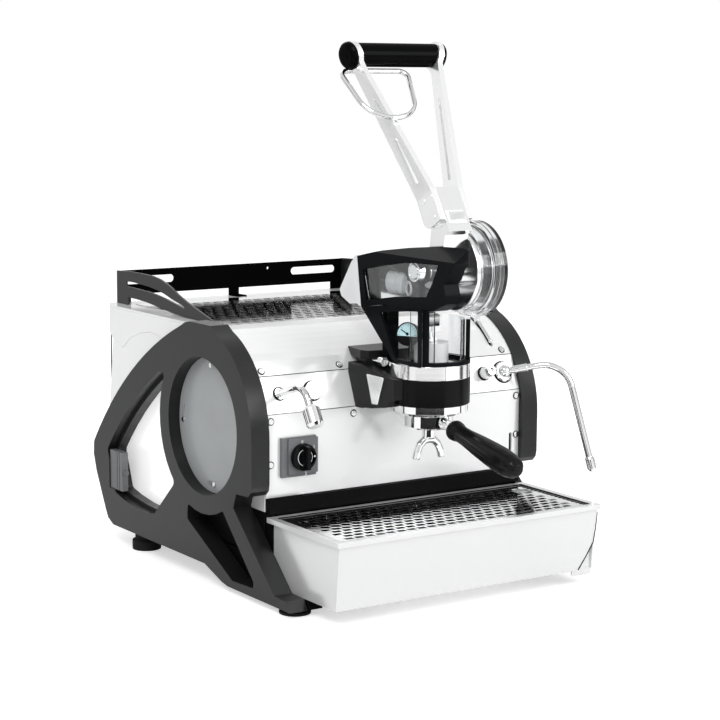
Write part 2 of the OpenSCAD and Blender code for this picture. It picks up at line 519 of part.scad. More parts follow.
// outline of the mask's outer cheek, and of its windows
module cheek_window() polygon([[202, 334], [158, 343], [98, 352], [60, 354], [21, 355], [34, 330],
  [48, 309], [121, 303], [193, 291]]);
module low_window() polygon([[158, 277], [134, 240], [119, 217], [66, 216.5], [66, 288], [110, 284]]);
module mask() color("#1d1f21") placed() {
  // upper cheek beside the lever hub
  difference() {
    union() {
      intersection() {
        yz(-54, -29) polygon([[216, 352], [159, 364], [110, 371], [51, 377], [-5, 379], [-16, 376],
          [-16, 359], [8, 330], [4, 316], [4, 304],
          [31, 292], [61, 292], [160, 288], [205, 280]]);
        // top falls toward the outside
        xz(-30, 230) polygon([[-54, 200], [-54, 361], [-29, 379], [-29, 200]]);
      }
      // cheek below, tangent to the group
      yz(-54, -50) polygon([[205, 281], [61, 297], [61, 211], [120, 211], [128, 216]]);
    }
    yz(-60, -50) cheek_window();
    yz(-51, -32) polygon([[206, 337], [158, 347], [98, 357], [40, 360], [8, 359], [26, 322], [40, 300],
      [121, 298], [196, 287]]);
    yz(-33, -20) polygon([[196, 334], [158, 343], [98, 352], [40, 355], [22, 352], [40, 308], [121, 302],
      [190, 292]]);
    yz(-60, -49) low_window();
    // nose cut back where the splayed arms swing past
    translate([0, 0, 340]) linear_extrude(42) polygon([[-28, -18], [-31.4, -18], [-31.4, -9], [-28, 2]]);
  }
  // bearing eye that carries the lever's shaft
  difference() {
    union() {
      cyl_x(-33, -29.05, shaft_boss_r + 6, py, pz, 48);
      box([-33, py - 4, 300], [-29.05, py + 4, pz]);
    }
    cyl_x(-34, -28, shaft_boss_r + 0.05, py, pz, 48);
  }
  // posts and hoop that stand on the ring
  for (a = [228, 322]) translate([0, group_y, 0]) rotate([0, 0, a])
    box([50, -4.5, 210], [56, 4.5, a == 228 ? 294 : 270]);
  translate([0, group_y, 210]) difference() {
    cylinder(r = 57, h = 5, $fn = 72);
    translate([0, 0, -1]) cylinder(r = 49, h = 10, $fn = 64);
    rotate([0, 0, 45]) translate([-80, 0, -1]) cube([160, 80, 10]);
  }
  translate([0, group_y, 287]) difference() {
    cylinder(r = 57, h = 6, $fn = 72);
    translate([0, 0, -1]) cylinder(r = 49, h = 10, $fn = 64);
    translate([-29, -80, -1]) cube([160, 160, 10]);
    rotate([0, 0, 20]) translate([-80, 0, -1]) cube([160, 80, 10]);
  }
  // rear columns against the yoke
  box([-40, 160, 210.05], [-20, 170.95, 294]);
  box([20, 160, 210.05], [40, 170.95, 294]);
}
module mask_panes() color("#c5d0d8") placed() {
  yz(-50, -48.5) polygon([[204.6, 335.8], [158, 346], [98, 355], [40, 358], [12, 357], [28, 322],
    [42, 302], [121, 299.5], [190, 290.5]]);
  // guard that runs on behind the cheek
  yz(-50, -47.5) polygon([[216, 350.9], [240, 351], [256, 348], [266, 330], [268, 290], [258, 275],
    [240, 274], [214, 284], [205.35, 281]]);
  yz(-53.9, -49.9) polygon([[216.2, 351], [226, 350], [228, 330], [222, 300], [214, 283], [205.35, 280.7]]);
  translate([0, group_y, 215.1]) difference() {
    cylinder(r = 49, h = 71, $fn = 64);
    translate([0, 0, -1]) cylinder(r = 46.5, h = 80, $fn = 64);
    rotate([0, 0, 20]) translate([-80, 0, -1]) cube([160, 80, 80]);
    translate([-22.8, -80, -1]) cube([45.6, 80, 80]);
    // shorter under the drum
    translate([22, -80, 56]) cube([80, 160, 80]);
  }
}
gc = [-38.5, 111.8, 251];
gauge_r = 15.2;
module gauge_at() translate(gc) rotate([-12, 0, -58]) children();
module gauge_case() color("#17181a") placed() {
  gauge_at() rotate([90, 0, 0]) difference() {
    translate([0, 0, -7]) cylinder(r = gauge_r + 1.3, h = 9, $fn = 48);
    translate([0, 0, 0]) cylinder(r = gauge_r, h = 4, $fn = 48);
    translate([0, 0, -5]) cylinder(r = 1.05, h = 9, $fn = 20);
  }
  box([-36, 106, 210.05], [-30.5, 113, 238.5]);
}
module gauge_dial() color("#7ec6e8") placed() gauge_at() rotate([90, 0, 0]) difference() {
  cylinder(r = gauge_r - 0.1, h = 0.6, $fn = 48);
  translate([0, 0, -1]) cylinder(r = 1.3, h = 3, $fn = 20);
  box([-20, -20, -1], [20, -3, 2]);
}
module gauge_needle() color("#101010") placed() gauge_at() rotate([90, 0, 0]) {
  translate([0, 0, -4.5]) cylinder(r = 1, h = 5.9, $fn = 20);
  translate([0, 0, 1]) cylinder(r = 2, h = 0.8, $fn = 20);
  translate([0, 0, 1]) rotate([0, 0, 150]) box([0, -0.6, 0], [11, 0.6, 0.6]);
}
module main_spring() color("#8d9094") placed() translate([0, group_y, 162.05]) rotate_extrude($fn = 40)
  // stacked spring discs between the piston and the sleeve
  polygon(concat([[11, 0.2], [11, 47.6]], [for (i = [0:16]) [i % 2 == 0 ? 22 : 15.5, 47.6 - i*47.4/16]]));
module piston() color("#e4e5e6") placed() translate([0, group_y, 0]) {
  translate([0, 0, 148]) cylinder(r = 25.94, h = 14, $fn = 72);
  translate([0, 0, 161]) cylinder(r = 8, h = 78, $fn = 32);
  translate([0, 0, 238.9]) cylinder(r = 11, h = 5, $fn = 6);
  translate([0, 0, 243]) cylinder(r = 5, h = 9.5, $fn = 24);
  box([-15, -7, 252], [15, 7, 260]);
  for (x = [-15, 11]) box([x, -7, 255], [x + 4, 7, 276]);
}
module piston_roller() color("#3b3e41") placed() {
  difference() { cyl_x(-10.7, 10.7, 8, group_y, 269.5, 36); cyl_x(-12, 12, 3.03, group_y, 269.5, 20); }
  cyl_x(-10.75, 10.75, 3, group_y, 269.5, 20);
}

// ---- lever --------------------------------------------------------------------
// frame along the lever: +Z up the lever, +Y to its back, leaning as the lever stands at rest
module lever_frame() translate([0, 88, 478]) rotate([-lever_lean, 0, 0]) children();
arm_t = 8.3;
splay = 12.08;
// frame on a splayed arm: +Z along it from where it leaves the hub, X = 0 on its inner face
module arm_frame() lever_frame() translate([-19.5, 0, -26]) rotate([0, -splay, 0]) children();
module slot_hole(p, q, r) hull() { translate([-30, p[0], p[1]]) rotate([0, 90, 0])
  cylinder(r = r, h = 60, $fn = 20); translate([-30, q[0], q[1]]) rotate([0, 90, 0])
  cylinder(r = r*0.72, h = 60, $fn = 20); }
module arm(one = false) {
  // lower part, flat on the hub
  lever_frame() yz(-19.5 - arm_t, -19.55) polygon([[3.2, -25.6], [3.6, -73], [28.6, -73.4], [37, -70],
    [41, -64], [42, -58], [39.5, -25.6]]);
  // upper part, splayed outward, with two slots and an eye for the grip's rod
  difference() {
    arm_frame() difference() {
      union() {
        yz(-arm_t, 0) polygon([[3.2, -1], [11.5, 200], [10.5, 210], [35, 210], [31.4, 200], [39.5, -1]]);
        translate([-arm_t, 22.5, 226]) rotate([0, 90, 0]) cylinder(r = 20.3, h = arm_t, $fn = 56);
      }
      if (one) slot_hole([21.5, 24], [20, 152], 3.2);
      else { slot_hole([22.5, 22], [19.5, 88], 4.2); slot_hole([18, 119], [20, 156], 2.6); }
    }
    grip_axis(-90, 0, 6.02);
    lever_frame() box([-19.5, -10, -40], [20, 60, 40]);
  }
  // heads of the screws that hold the arm to the hub
  lever_frame() for (e = [[27.6, -34, 4.6], [7.6, -36, 3], [15, -63.5, 3]])
    translate([-19.5 - arm_t - 0.8, e[0], e[1]]) rotate([0, 90, 0]) cylinder(r = e[2], h = 3, $fn = 20);
}
module grip_axis(x0, x1, r, fn = 32) arm_frame() translate([0, 22.5, 226]) rotate([0, splay, 0])
  rotate([0, 90, 0]) translate([0, 0, x0 + 66]) cylinder(r = r, h = x1 - x0, $fn = fn);
module lever_arms() color("#c3c6c9") placed() difference() { union() { arm(); mirror([1, 0, 0]) arm(true);
  } loop_bore(); }
module lever_hub() color("#d8dadc") placed() {
  difference() {
    // block between the arms, neck, and disc round the shaft
    yz(-19.45, 19.45) {
      translate([88, 478]) rotate(-lever_lean) polygon([[3, -24.2], [3, -92], [20, -92], [38, -80],
        [38, -24.2]]);
      polygon([[50, 405], [60, 360], [66, 338], [110, 338], [90, 368], [85.5, 400], [70, 412]]);
      translate([py, pz]) circle(r = 24, $fn = 48);
    }
    lever_frame() box([-14.5, -5, -79], [14.5, 20, -60.5]);
  }
  cyl_x(-46.8, 62, 9, py, pz, 32);
  cyl_x(-27, -19, 15, py, pz, 32);
}
module cam_drum() color("#b9bcc0") placed() {
  difference() {
    cyl_x(20, 27, drum_r - 10, py, pz, 64);
    cyl_x(10, 30, 9.02, py, pz, 32);
  }
  difference() {
    hull() { cyl_x(26.9, 42, 26, py, pz, 32); cyl_x(26.9, 42, 14, py + 14, pz - 34, 32); }
    cyl_x(26, 50, 9.02, py, pz, 32);
  }
  // left boss and end cap
  difference() {
    union() { cyl_x(-34, -27.9, shaft_boss_r, py, pz, 48); cyl_x(-45.5, -33.6, 14, py, pz, 40);
      cyl_x(-47.2, -45.4, 11, py, pz, 32); }
    cyl_x(-51, -20, 9.02, py, pz, 32);
  }
}
module drum_cover() color("#c5d0d8") placed() difference() {
  union() { cyl_x(28, 44.6, drum_r - 7, py, pz, 72); cyl_x(44.4, 51, drum_r, py, pz, 72);
    cyl_x(52.4, 65, drum_r, py, pz, 72); cyl_x(50.9, 52.5, drum_r - 1, py, pz, 72); }
  cyl_x(27, 44.7, drum_r - 11, py, pz, 64);
  cyl_x(44.5, 61, drum_r - 4.5, py, pz, 64);
  cyl_x(60, 63, 9.02, py, pz, 32);
}
module grip() color("#17181a") placed() {
  difference() {
    union() {
      arm_frame() translate([0, 22.5, 226]) rotate([0, splay, 0]) rotate([0, 90, 0])
        translate([0, 0, -14]) cylinder(r = grip_r, h = 2*(66.9 + 14), $fn = 48);
    }
    both() arm_frame() box([-60, -60, 150], [0.02, 100, 320]);
  }
  difference() { both() arm_frame() translate([-arm_t, 22.5, 226]) rotate([0, -90, 0]) {
    cylinder(r = 19.4, h = 3, $fn = 48);
    translate([0, 0, 2.9]) cylinder(r1 = 19.4, r2 = 17.5, h = 2.6, $fn = 48);
    translate([0, 0, 5.4]) cylinder(r1 = 17.5, r2 = 12, h = 2.2, $fn = 48);
    translate([0, 0, 7.5]) cylinder(r = 3, h = 0.8, $fn = 20);
  }
  loop_bore(); }
}
// D-shaped wire loop round the left arm: straight top, round foot, in one leaning plane
lw = loop_wire/2;
loop_h = 94.2;
loop_lean = 41.8;
lc = [[0, -loop_h + 43, 43], [38.5, -12, 12], [-38.5, -12, 12]];  // corner circles: x, y, radius
function lnorm(i) = let(p = lc[i % 3], q = lc[(i + 1) % 3], d = [q[0] - p[0], q[1] - p[1]])
  atan2(d[1], d[0]) - acos((p[2] - q[2])/norm(d));
module loop_plane() translate([-38.3, 203, 611.4]) rotate([0, 0, -8.5]) rotate([loop_lean, 0, 0])
  children();
// bore that the straight top of the loop runs through
module loop_bore() loop_plane() translate([-48, 0, 0]) rotate([0, 90, 0])
  cylinder(r = lw + 0.15, h = 96, $fn = 28);
module pull_loop() color("#cfd2d5") placed() loop_plane() for (i = [0:2]) {
  p = lc[i]; q = lc[(i + 1) % 3];
  a1 = lnorm(i); a0 = lnorm(i + 2);
  g = 0.25*180/PI/p[2];
  u = [p[0] + p[2]*cos(a1), p[1] + p[2]*sin(a1)]; v = [q[0] + q[2]*cos(a1), q[1] + q[2]*sin(a1)];
  w = v - u;
  translate([u[0], u[1], 0]) rotate([0, 0, atan2(w[1], w[0])]) rotate([0, 90, 0]) translate([0, 0, 0.25])
    cylinder(r = lw, h = norm(w) - 0.5, $fn = 24);
  translate([p[0], p[1], 0]) rotate([0, 0, a0 + g])
    rotate_extrude(angle = ((a1 - a0) % 360 + 360) % 360 - 2*g, $fn = 48) translate([p[2], 0])
    circle(r = lw, $fn = 24);
  for (e = [u, v]) translate([e[0], e[1], 0]) rotate([0, 0, atan2(w[1], w[0])]) rotate([0, 90, 0])
    sphere(r = lw*1.03, $fn = 32);
}

// ---- filter holder ---------------------------------------------------------------
neck_r = 7.5;
module holder_body() color("#cfd2d5") placed() translate([0, group_y, 0]) {
  difference() {
    union() {
      translate([0, 0, 119.5]) cylinder(r = holder_r, h = 22, $fn = 64);
      translate([0, 0, 117]) cylinder(r1 = holder_r - 4, r2 = holder_r, h = 2.6, $fn = 64);
      for (a = [20, 200]) rotate([0, 0, a]) rotate_extrude(angle = 40, $fn = 64)
        translate([holder_r - 1, 138]) square([2.8, 3.4]);
    }
    translate([0, 0, 124]) cylinder(r = 29, h = 30, $fn = 56);
    translate([0, 0, 112]) cylinder(r = 3, h = 20, $fn = 20);
  }
  // neck into the handle
  translate([0, -58, 122.2]) rotate([90 + handle_tilt, 0, 0]) translate([0, 0, -27])
    cylinder(r = neck_r, h = 33, $fn = 28);
}
module holder_spout() color("#cfd2d5") placed() translate([0, group_y, 0]) {
  difference() { translate([0, 0, 101]) cylinder(r = 9, h = 16, $fn = 32); translate([0, 0, 104])
    cylinder(r = 4, h = 20, $fn = 20); }
  for (s = [-1, 1]) tube_path([[0, 0, 99], [s*8, 0, 98], [s*15, 0, 92], [s*20, 0, 82], [s*22, 0, 72]],
    5.5, 16);
}
module holder_handle() color("#17181a") placed() translate([0, group_y - 58, 122.2])
  rotate([90 + handle_tilt, 0, 0]) rotate_extrude($fn = 40) polygon([
  [neck_r + 0.05, 0], [13, 0], [14.5, 4], [14, 10], [12, 18], [12.5, 34], [15, 60], [17, 90], [18, 112],
    [17, 130], [14, 142], [8, 149], [0, 151], [0, 8], [neck_r + 0.05, 8]]);

frame_left();
frame_right();
leg_left();
leg_right();
window_left();
window_right();
rear_blocks();
feet();
base_pan();
panel_lower();
panel_middle();
panel_upper();
top_cover();
side_cover_left();
side_cover_right();
rear_panel();
ledge();
cup_tray();
cup_rail();
panel_screws();
steam_boiler();
motor_pump();
control_box();
drip_tray();
drip_grid();
switch_plate();
switch_knob();
water_spout();
water_nozzle();
water_button();
steam_knob();
steam_flange();
steam_wand();
wand_sleeve();
slot_plate();
mixing_lever();
group_yoke();
yoke_trim();
group_bell();
group_band();
group_ring();
group_sleeve();
pipe_nut();
mask();
mask_panes();
gauge_case();
gauge_dial();
gauge_needle();
main_spring();
piston();
piston_roller();
lever_arms();
lever_hub();
cam_drum();
drum_cover();
grip();
pull_loop();
holder_body();
holder_spout();
holder_handle();
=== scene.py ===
# %% [markdown]
# # A lever espresso machine, dressed for show
# The imported model is the bench that everything stands on. Its nodes never move, so this
# lesson only gives them finishes, rounds their edges and adds the small parts that a
# workshop fits last, such as dial marks, gaskets and seals, and black strips that paint the
# shade in the panel seams.

# %% The imported model
import json
import math

import bmesh
import bpy
from mathutils import Matrix, Vector

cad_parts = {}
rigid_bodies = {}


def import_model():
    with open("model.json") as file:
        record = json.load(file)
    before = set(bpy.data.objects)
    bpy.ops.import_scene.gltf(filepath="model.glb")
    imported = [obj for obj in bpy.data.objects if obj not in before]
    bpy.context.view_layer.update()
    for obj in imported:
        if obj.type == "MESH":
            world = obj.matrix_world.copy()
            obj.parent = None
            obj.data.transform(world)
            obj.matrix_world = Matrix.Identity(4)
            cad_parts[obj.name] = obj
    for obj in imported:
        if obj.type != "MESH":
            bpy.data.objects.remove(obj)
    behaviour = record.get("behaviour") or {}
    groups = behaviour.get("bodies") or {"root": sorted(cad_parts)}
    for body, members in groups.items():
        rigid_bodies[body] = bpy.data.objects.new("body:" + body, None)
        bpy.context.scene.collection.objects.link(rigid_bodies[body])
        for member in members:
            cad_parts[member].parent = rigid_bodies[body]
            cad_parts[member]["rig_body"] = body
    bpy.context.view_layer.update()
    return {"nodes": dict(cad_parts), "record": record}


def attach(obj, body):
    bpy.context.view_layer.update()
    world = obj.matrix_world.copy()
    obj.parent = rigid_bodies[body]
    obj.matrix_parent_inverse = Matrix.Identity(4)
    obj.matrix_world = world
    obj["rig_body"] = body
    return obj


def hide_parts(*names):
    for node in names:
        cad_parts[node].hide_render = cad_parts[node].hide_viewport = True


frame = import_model()
nodes = frame["nodes"]

# %% [markdown]
# ## One set of measures
# The drawings give millimetres from the middle of the drip tray's front edge. `at` turns
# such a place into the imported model's metres, so a part can be placed straight from the
# drawing, and `drawn` turns a mesh's place back. `tidy` leaves a piece at the origin with
# its place in its mesh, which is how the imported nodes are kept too.

# %% Places and helpers
MID_X, MID_Y, FLOOR_Z = 26.13, 285.93, 117.0
MM = 0.001


def at(x, y, z):
    """A place in the drawing's millimetres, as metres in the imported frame."""
    return Vector(((x - MID_X) * MM, (y - MID_Y) * MM, (z + FLOOR_Z) * MM))


def drawn(place):
    """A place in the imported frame, as the drawing's millimetres."""
    return place.x / MM + MID_X, place.y / MM + MID_Y, place.z / MM - FLOOR_Z


def pick(*pieces):
    """Selects just these pieces and makes the first one active."""
    if bpy.context.mode != "OBJECT":
        bpy.ops.object.mode_set(mode="OBJECT")
    bpy.ops.object.select_all(action="DESELECT")
    for piece in pieces:
        piece.select_set(True)
    bpy.context.view_layer.objects.active = pieces[0]


def tidy(piece):
    """Applies the modifiers and the place, so that the mesh itself holds both."""
    pick(piece)
    for modifier in list(piece.modifiers):
        bpy.ops.object.modifier_apply(modifier=modifier.name)
    bpy.ops.object.transform_apply(location=True, rotation=True, scale=True)
    return piece


print("tray front edge at", [round(c, 4) for c in at(0, 0, 0)])

# %% [markdown]
# ## Camera
# A long lens, a little above the tray, looks at the machine from its front left. The
# camera is built from its three axes, because that keeps its slight roll exact.

# %% Camera
VIEW_TURN, VIEW_PITCH, VIEW_ROLL = map(math.radians, (33.867, 8.43, 0.447))
LENS_PLACE, LENS_LENGTH, FILM_WIDTH, SIGHT = (-1.63043, -2.38933, 0.7330), 98.67, 36.0, 50.0
reach_out = math.cos(VIEW_PITCH)
ahead = Vector((math.sin(VIEW_TURN) * reach_out, math.cos(VIEW_TURN) * reach_out, -math.sin(VIEW_PITCH)))
level = Vector((math.cos(VIEW_TURN), -math.sin(VIEW_TURN), 0))
above = level.cross(ahead)
right = level * math.cos(VIEW_ROLL) + above * math.sin(VIEW_ROLL)
up = above * math.cos(VIEW_ROLL) - level * math.sin(VIEW_ROLL)
lens = bpy.data.cameras.new("view_camera")
lens.sensor_width, lens.lens, lens.clip_end = FILM_WIDTH, LENS_LENGTH, SIGHT
camera = bpy.data.objects.new("view_camera", lens)
bpy.context.scene.collection.objects.link(camera)
camera.matrix_world = Matrix.Translation(LENS_PLACE) @ Matrix((right, up, -ahead)).transposed().to_4x4()
bpy.context.scene.camera = camera
print("camera looks along", [round(c, 3) for c in ahead])

# %% [markdown]
# ## Writing shaders as sums
# Node trees are slow to read as lists of links. `Wire` wraps one socket and overloads
# the arithmetic, so `0.3 + grain * 0.1` adds the Math nodes by itself, also when the
# plain number comes first.

# %% Shader arithmetic
class Wire:
    """One output in a node tree; arithmetic on it adds Math nodes."""

    def __init__(self, tree, socket):
        self.tree, self.socket = tree, socket

    def math(self, operation, first, second=0.0):
        node = self.tree.nodes.new("ShaderNodeMath")
        node.operation = operation
        for slot, value in zip(node.inputs, (first, second)):
            if isinstance(value, Wire):
                self.tree.links.new(value.socket, slot)
            else:
                slot.default_value = value
        return Wire(self.tree, node.outputs[0])

    def __add__(self, other): return self.math("ADD", self, other)
    def __radd__(self, other): return self.math("ADD", other, self)
    def __sub__(self, other): return self.math("SUBTRACT", self, other)
    def __rsub__(self, other): return self.math("SUBTRACT", other, self)
    def __mul__(self, other): return self.math("MULTIPLY", self, other)
    def __rmul__(self, other): return self.math("MULTIPLY", other, self)
    def __truediv__(self, other): return self.math("DIVIDE", self, other)
    def __pow__(self, other): return self.math("POWER", self, other)
    def largest(self, other): return self.math("MAXIMUM", self, other)
    def clamp(self): return self.math("MAXIMUM", self.math("MINIMUM", self, 1.0), 0.0)
    def sine(self): return self.math("SINE", self)

    def axes(self):
        """The x, y and z of a vector."""
        node = self.tree.nodes.new("ShaderNodeSeparateXYZ")
        self.tree.links.new(self.socket, node.inputs[0])
        return [Wire(self.tree, output) for output in node.outputs]


print("shader arithmetic ready")

# %% [markdown]
# ## One class for every material
# `Finish` is one material with a Principled shader. Its constants are set as sockets when
# it is made, `set` feeds a socket with a wire, and `node` adds any other node.

# %% Finish
class Finish:
    """A material with a Principled shader; node() adds any other node."""

    def __init__(self, name, **constants):
        self.material = bpy.data.materials.new(name)
        self.material.use_nodes = True
        self.tree = self.material.node_tree
        self.shader = self.tree.nodes["Principled BSDF"]
        for socket, value in constants.items():
            self.shader.inputs[socket.replace("_", " ")].default_value = value

    def node(self, kind, links=None, out=0):
        node = self.tree.nodes.new("ShaderNode" + kind)
        for socket, value in (links or {}).items():
            self.feed(node.inputs[socket], value)
        return Wire(self.tree, node.outputs[out])

    def feed(self, socket, value):
        if isinstance(value, Wire):
            self.tree.links.new(value.socket, socket)
        else:
            socket.default_value = value

    def set(self, socket, value):
        self.feed(self.shader.inputs[socket], value)

    def place(self):
        return self.node("TexCoord", out="Object")

    def stretched(self, scale):
        return self.node("Mapping", {"Vector": self.place(), "Scale": scale})

    def noise(self, scale, detail, place=None):
        return self.node("TexNoise", {"Vector": place or self.place(), "Scale": scale, "Detail": detail})

    def mix(self, factor, dark, light):
        # the Mix node repeats its socket names for each data type, so colours go by index
        node = self.tree.nodes.new("ShaderNodeMix")
        node.data_type = "RGBA"
        for index, value in ((0, factor), (6, dark), (7, light)):
            self.feed(node.inputs[index], value)
        return Wire(self.tree, node.outputs[2])

    def bump(self, height, strength, distance):
        raised = self.node("Bump", {"Height": height, "Strength": strength, "Distance": distance})
        self.set("Normal", raised)


print("finishes ready")

# %% [markdown]
# ## Painted frame
# The side frames are thick plate with a satin black powder coat. Powder melts into a very
# fine orange peel, so the gloss is broken up by a small bump, and the colour drifts a
# little where the coat is thicker. A flat black would look like a hole.

# %% Satin black powder coat
def powder_coat(name, tone, gloss, shine=0.4, film=1.0):
    """Black or grey powder: tone, roughness, specular level and weight of the gloss film."""
    coat = Finish(name, Specular_IOR_Level=shine, Coat_Roughness=0.32)
    drift = coat.noise(14.0, 2.0)
    peel = coat.noise(1300.0, 2.0)
    dark = (tone * 0.8, tone * 0.8, tone * 0.8, 1.0)
    light = (tone * 1.25, tone * 1.28, tone * 1.36, 1.0)
    coat.set("Base Color", coat.mix(drift, dark, light))
    coat.set("Roughness", gloss + 0.08 * drift + 0.03 * peel)
    coat.set("Coat Weight", (0.06 + 0.06 * drift) * film)
    coat.bump(peel, 0.10, 0.00012)
    return coat.material


satin_black = powder_coat("satin_black_coat", 0.010, 0.33, 0.34)
yoke_black = powder_coat("yoke_black_coat", 0.008, 0.34, 0.2)
deep_black = powder_coat("deep_black_coat", 0.005, 0.4, 0.02, 0.5)
rail_black = powder_coat("rail_black_coat", 0.002, 0.35, 0.0, 0.1)
# black paint of the legs and inner parts, also used as painted shade in the tray's basin and on the side
# covers' low front
inner_black_and_shade = powder_coat("inner_black_and_shade_coat", 0.004, 0.6, 0.03)
print("powder coats:", satin_black.name, deep_black.name, inner_black_and_shade.name)

# %% [markdown]
# ## Steel and chrome
# The body panels are bright polished sheet. Sheet is never quite flat, so a broad, weak
# bump lets the light roll over it. The punched trays swell a little between their holes.
# The ring and the button are turned, which leaves streaks that run one way: a noise that
# is stretched along one axis. The fittings are chrome plated and mirror smooth.

# %% Polished, punched and turned metal
def polished(name, tone, gloss, ripple=0.05, metallic=1.0, glow=0.0):
    """Smooth metal whose surface ripples a little; glow is painted light, an emission for light caught in a
    recess.
    """
    # an emission here is painted light, used only where glow is given
    metal = Finish(name, Metallic=metallic, Emission_Color=(1, 1, 1, 1), Emission_Strength=glow)
    wave = metal.noise(5.0, 1.0)
    haze = metal.noise(60.0, 4.0)
    dull = (tone * 0.975, tone * 0.98, tone * 0.985, 1)
    metal.set("Base Color", metal.mix(haze, dull, (tone, tone, tone, 1)))
    metal.set("Roughness", gloss + 0.035 * haze)
    metal.bump(wave, ripple, 0.0008)
    return metal.material


def embossed(name, tone, gloss, across, deep, height):
    """Punched sheet: the tool leaves a shallow swell between the holes of each row."""
    metal = Finish(name, Metallic=1.0)
    haze = metal.noise(60.0, 4.0)
    dull = (tone * 0.97, tone * 0.975, tone * 0.98, 1)
    metal.set("Base Color", metal.mix(haze, dull, (tone, tone, tone, 1)))
    metal.set("Roughness", gloss + 0.03 * haze)
    x, y = metal.place().axes()[:2]
    turn = 2 * math.pi / MM
    swell = (x * (turn / across) + y * (turn / deep / 2)).sine()
    dish = (y * (turn / deep)).sine()
    metal.bump(swell * dish, 1.0, height * MM)
    return metal.material


def brushed(name, tone, gloss, along, scale, tint=(1.0, 1.0, 1.0)):
    """Metal with streaks: the noise is stretched along the axis whose share is small."""
    metal = Finish(name, Metallic=1.0)
    streak = metal.noise(scale, 3.0, metal.stretched(along))
    cloud = metal.noise(22.0, 2.0)
    dark = tuple(tone * 0.86 * t for t in tint) + (1.0,)
    light = tuple(tone * t for t in tint) + (1.0,)
    metal.set("Base Color", metal.mix(streak * 0.7 + cloud * 0.3, dark, light))
    metal.set("Roughness", gloss + 0.14 * streak)
    metal.bump(streak, 0.12, 0.00008)
    return metal.material


print("three kinds of metal")

# %% [markdown]
# ## The metals
# Tone comes first, then roughness. The body's sheets keep only a little metallic shine, so
# that they stay as pale as the room. The sheet in the recess behind each frame gets painted
# light: a faint glow of its own stands for the light that bounces many times between its walls.

# %% Metals of the machine
mirror_sheet = polished("bright_body_sheet", 0.98, 0.15, 0.015, 0.18)
side_sheet = polished("bright_side_sheet", 0.98, 0.16, 0.01, 0.4)
# painted light: this sheet glows to stand for light bounced in the recess behind each frame
recess_painted_glow_sheet = polished("recess_painted_glow_sheet", 0.98, 0.2, 0.01, 0.25, glow=0.42)
tray_sheet = polished("bright_tray_sheet", 0.80, 0.18, 0.02, 0.5)
chrome_plate = polished("chrome_plate", 0.90, 0.03, 0.015)
turned_chrome = brushed("turned_chrome", 0.90, 0.07, (0.02, 0.02, 1), 420.0)
arm_steel = polished("ground_arm_steel", 0.96, 0.20, 0.02, 0.75)
hub_steel = polished("polished_hub_steel", 0.95, 0.12, 0.02)
tray_steel = embossed("embossed_cup_tray", 0.80, 0.05, 18.4, 17.9, 0.05)
grid_steel = embossed("embossed_grid_steel", 0.76, 0.05, 17.0, 14.0, 0.06)
spring_steel = brushed("spring_steel", 0.55, 0.26, (1, 1, 0.05), 500.0)
screw_steel = polished("screw_steel", 0.72, 0.14, 0.02)
copper_shell = brushed("drawn_copper", 0.80, 0.22, (0.03, 1, 1), 500.0, (0.95, 0.55, 0.36))
cast_grey = powder_coat("cast_grey_coat", 0.16, 0.42)
print("metals:", [metal.name for metal in (mirror_sheet, chrome_plate, arm_steel, tray_steel)])

# %% [markdown]
# ## Mouldings, clear covers and rubber
# Moulded plastic is smoother than powder coat but has a fine spark-eroded grain. The
# clear covers are thick polycarbonate: they transmit, with a very slight haze and a few
# rub marks. The feet are matt rubber with a chalky bloom.

# %% Plastics, clear covers, rubber
def moulding(name, colour, gloss, grain, shine=0.5, coat=0.0):
    """Moulded plastic with a fine spark-eroded grain."""
    plastic = Finish(name, Specular_IOR_Level=shine, Coat_Weight=coat, Coat_Roughness=0.12)
    speck = plastic.noise(1700.0, 2.0)
    drift = plastic.noise(18.0, 2.0)
    dark = tuple(c * 0.9 for c in colour) + (1.0,)
    light = tuple(min(1.0, c * 1.1) for c in colour) + (1.0,)
    plastic.set("Base Color", plastic.mix(drift, dark, light))
    plastic.set("Roughness", gloss + 0.05 * speck + 0.04 * drift)
    plastic.bump(speck, grain, 0.0001)
    return plastic.material


def clear_cover(name, tone, gloss):
    """Clear plastic with rub marks."""
    cover = Finish(name, Transmission_Weight=1.0, IOR=1.46, Specular_IOR_Level=0.5)
    rub = cover.noise(35.0, 5.0)
    cover.set("Base Color", cover.mix(rub, tuple(t * 0.985 for t in tone) + (1,), tone + (1,)))
    cover.set("Roughness", gloss + 0.05 * rub * rub)
    return cover.material


black_moulding = moulding("black_moulding", (0.004, 0.0042, 0.0048), 0.34, 0.05, 0.03, 0.14)
grip_black = moulding("grip_black", (0.002, 0.0021, 0.0023), 0.35, 0.02, 0.01, 0.05)
handle_black = moulding("handle_black", (0.005, 0.0051, 0.0056), 0.38, 0.02, 0.03, 0.3)
mask_black = moulding("mask_black", (0.006, 0.0065, 0.0075), 0.42, 0.03, 0.01, 0.07)
rubber_black = moulding("foot_rubber", (0.012, 0.012, 0.013), 0.75, 0.2, 0.2)
grey_moulding = moulding("grey_moulding", (0.16, 0.165, 0.175), 0.30, 0.04, 0.4)
# white moulding for the sleeve and the barrel; on the clear guard it is a painted reflection
white_moulding_and_reflection = moulding("white_moulding_and_reflection", (0.86, 0.87, 0.88), 0.25, 0.02)
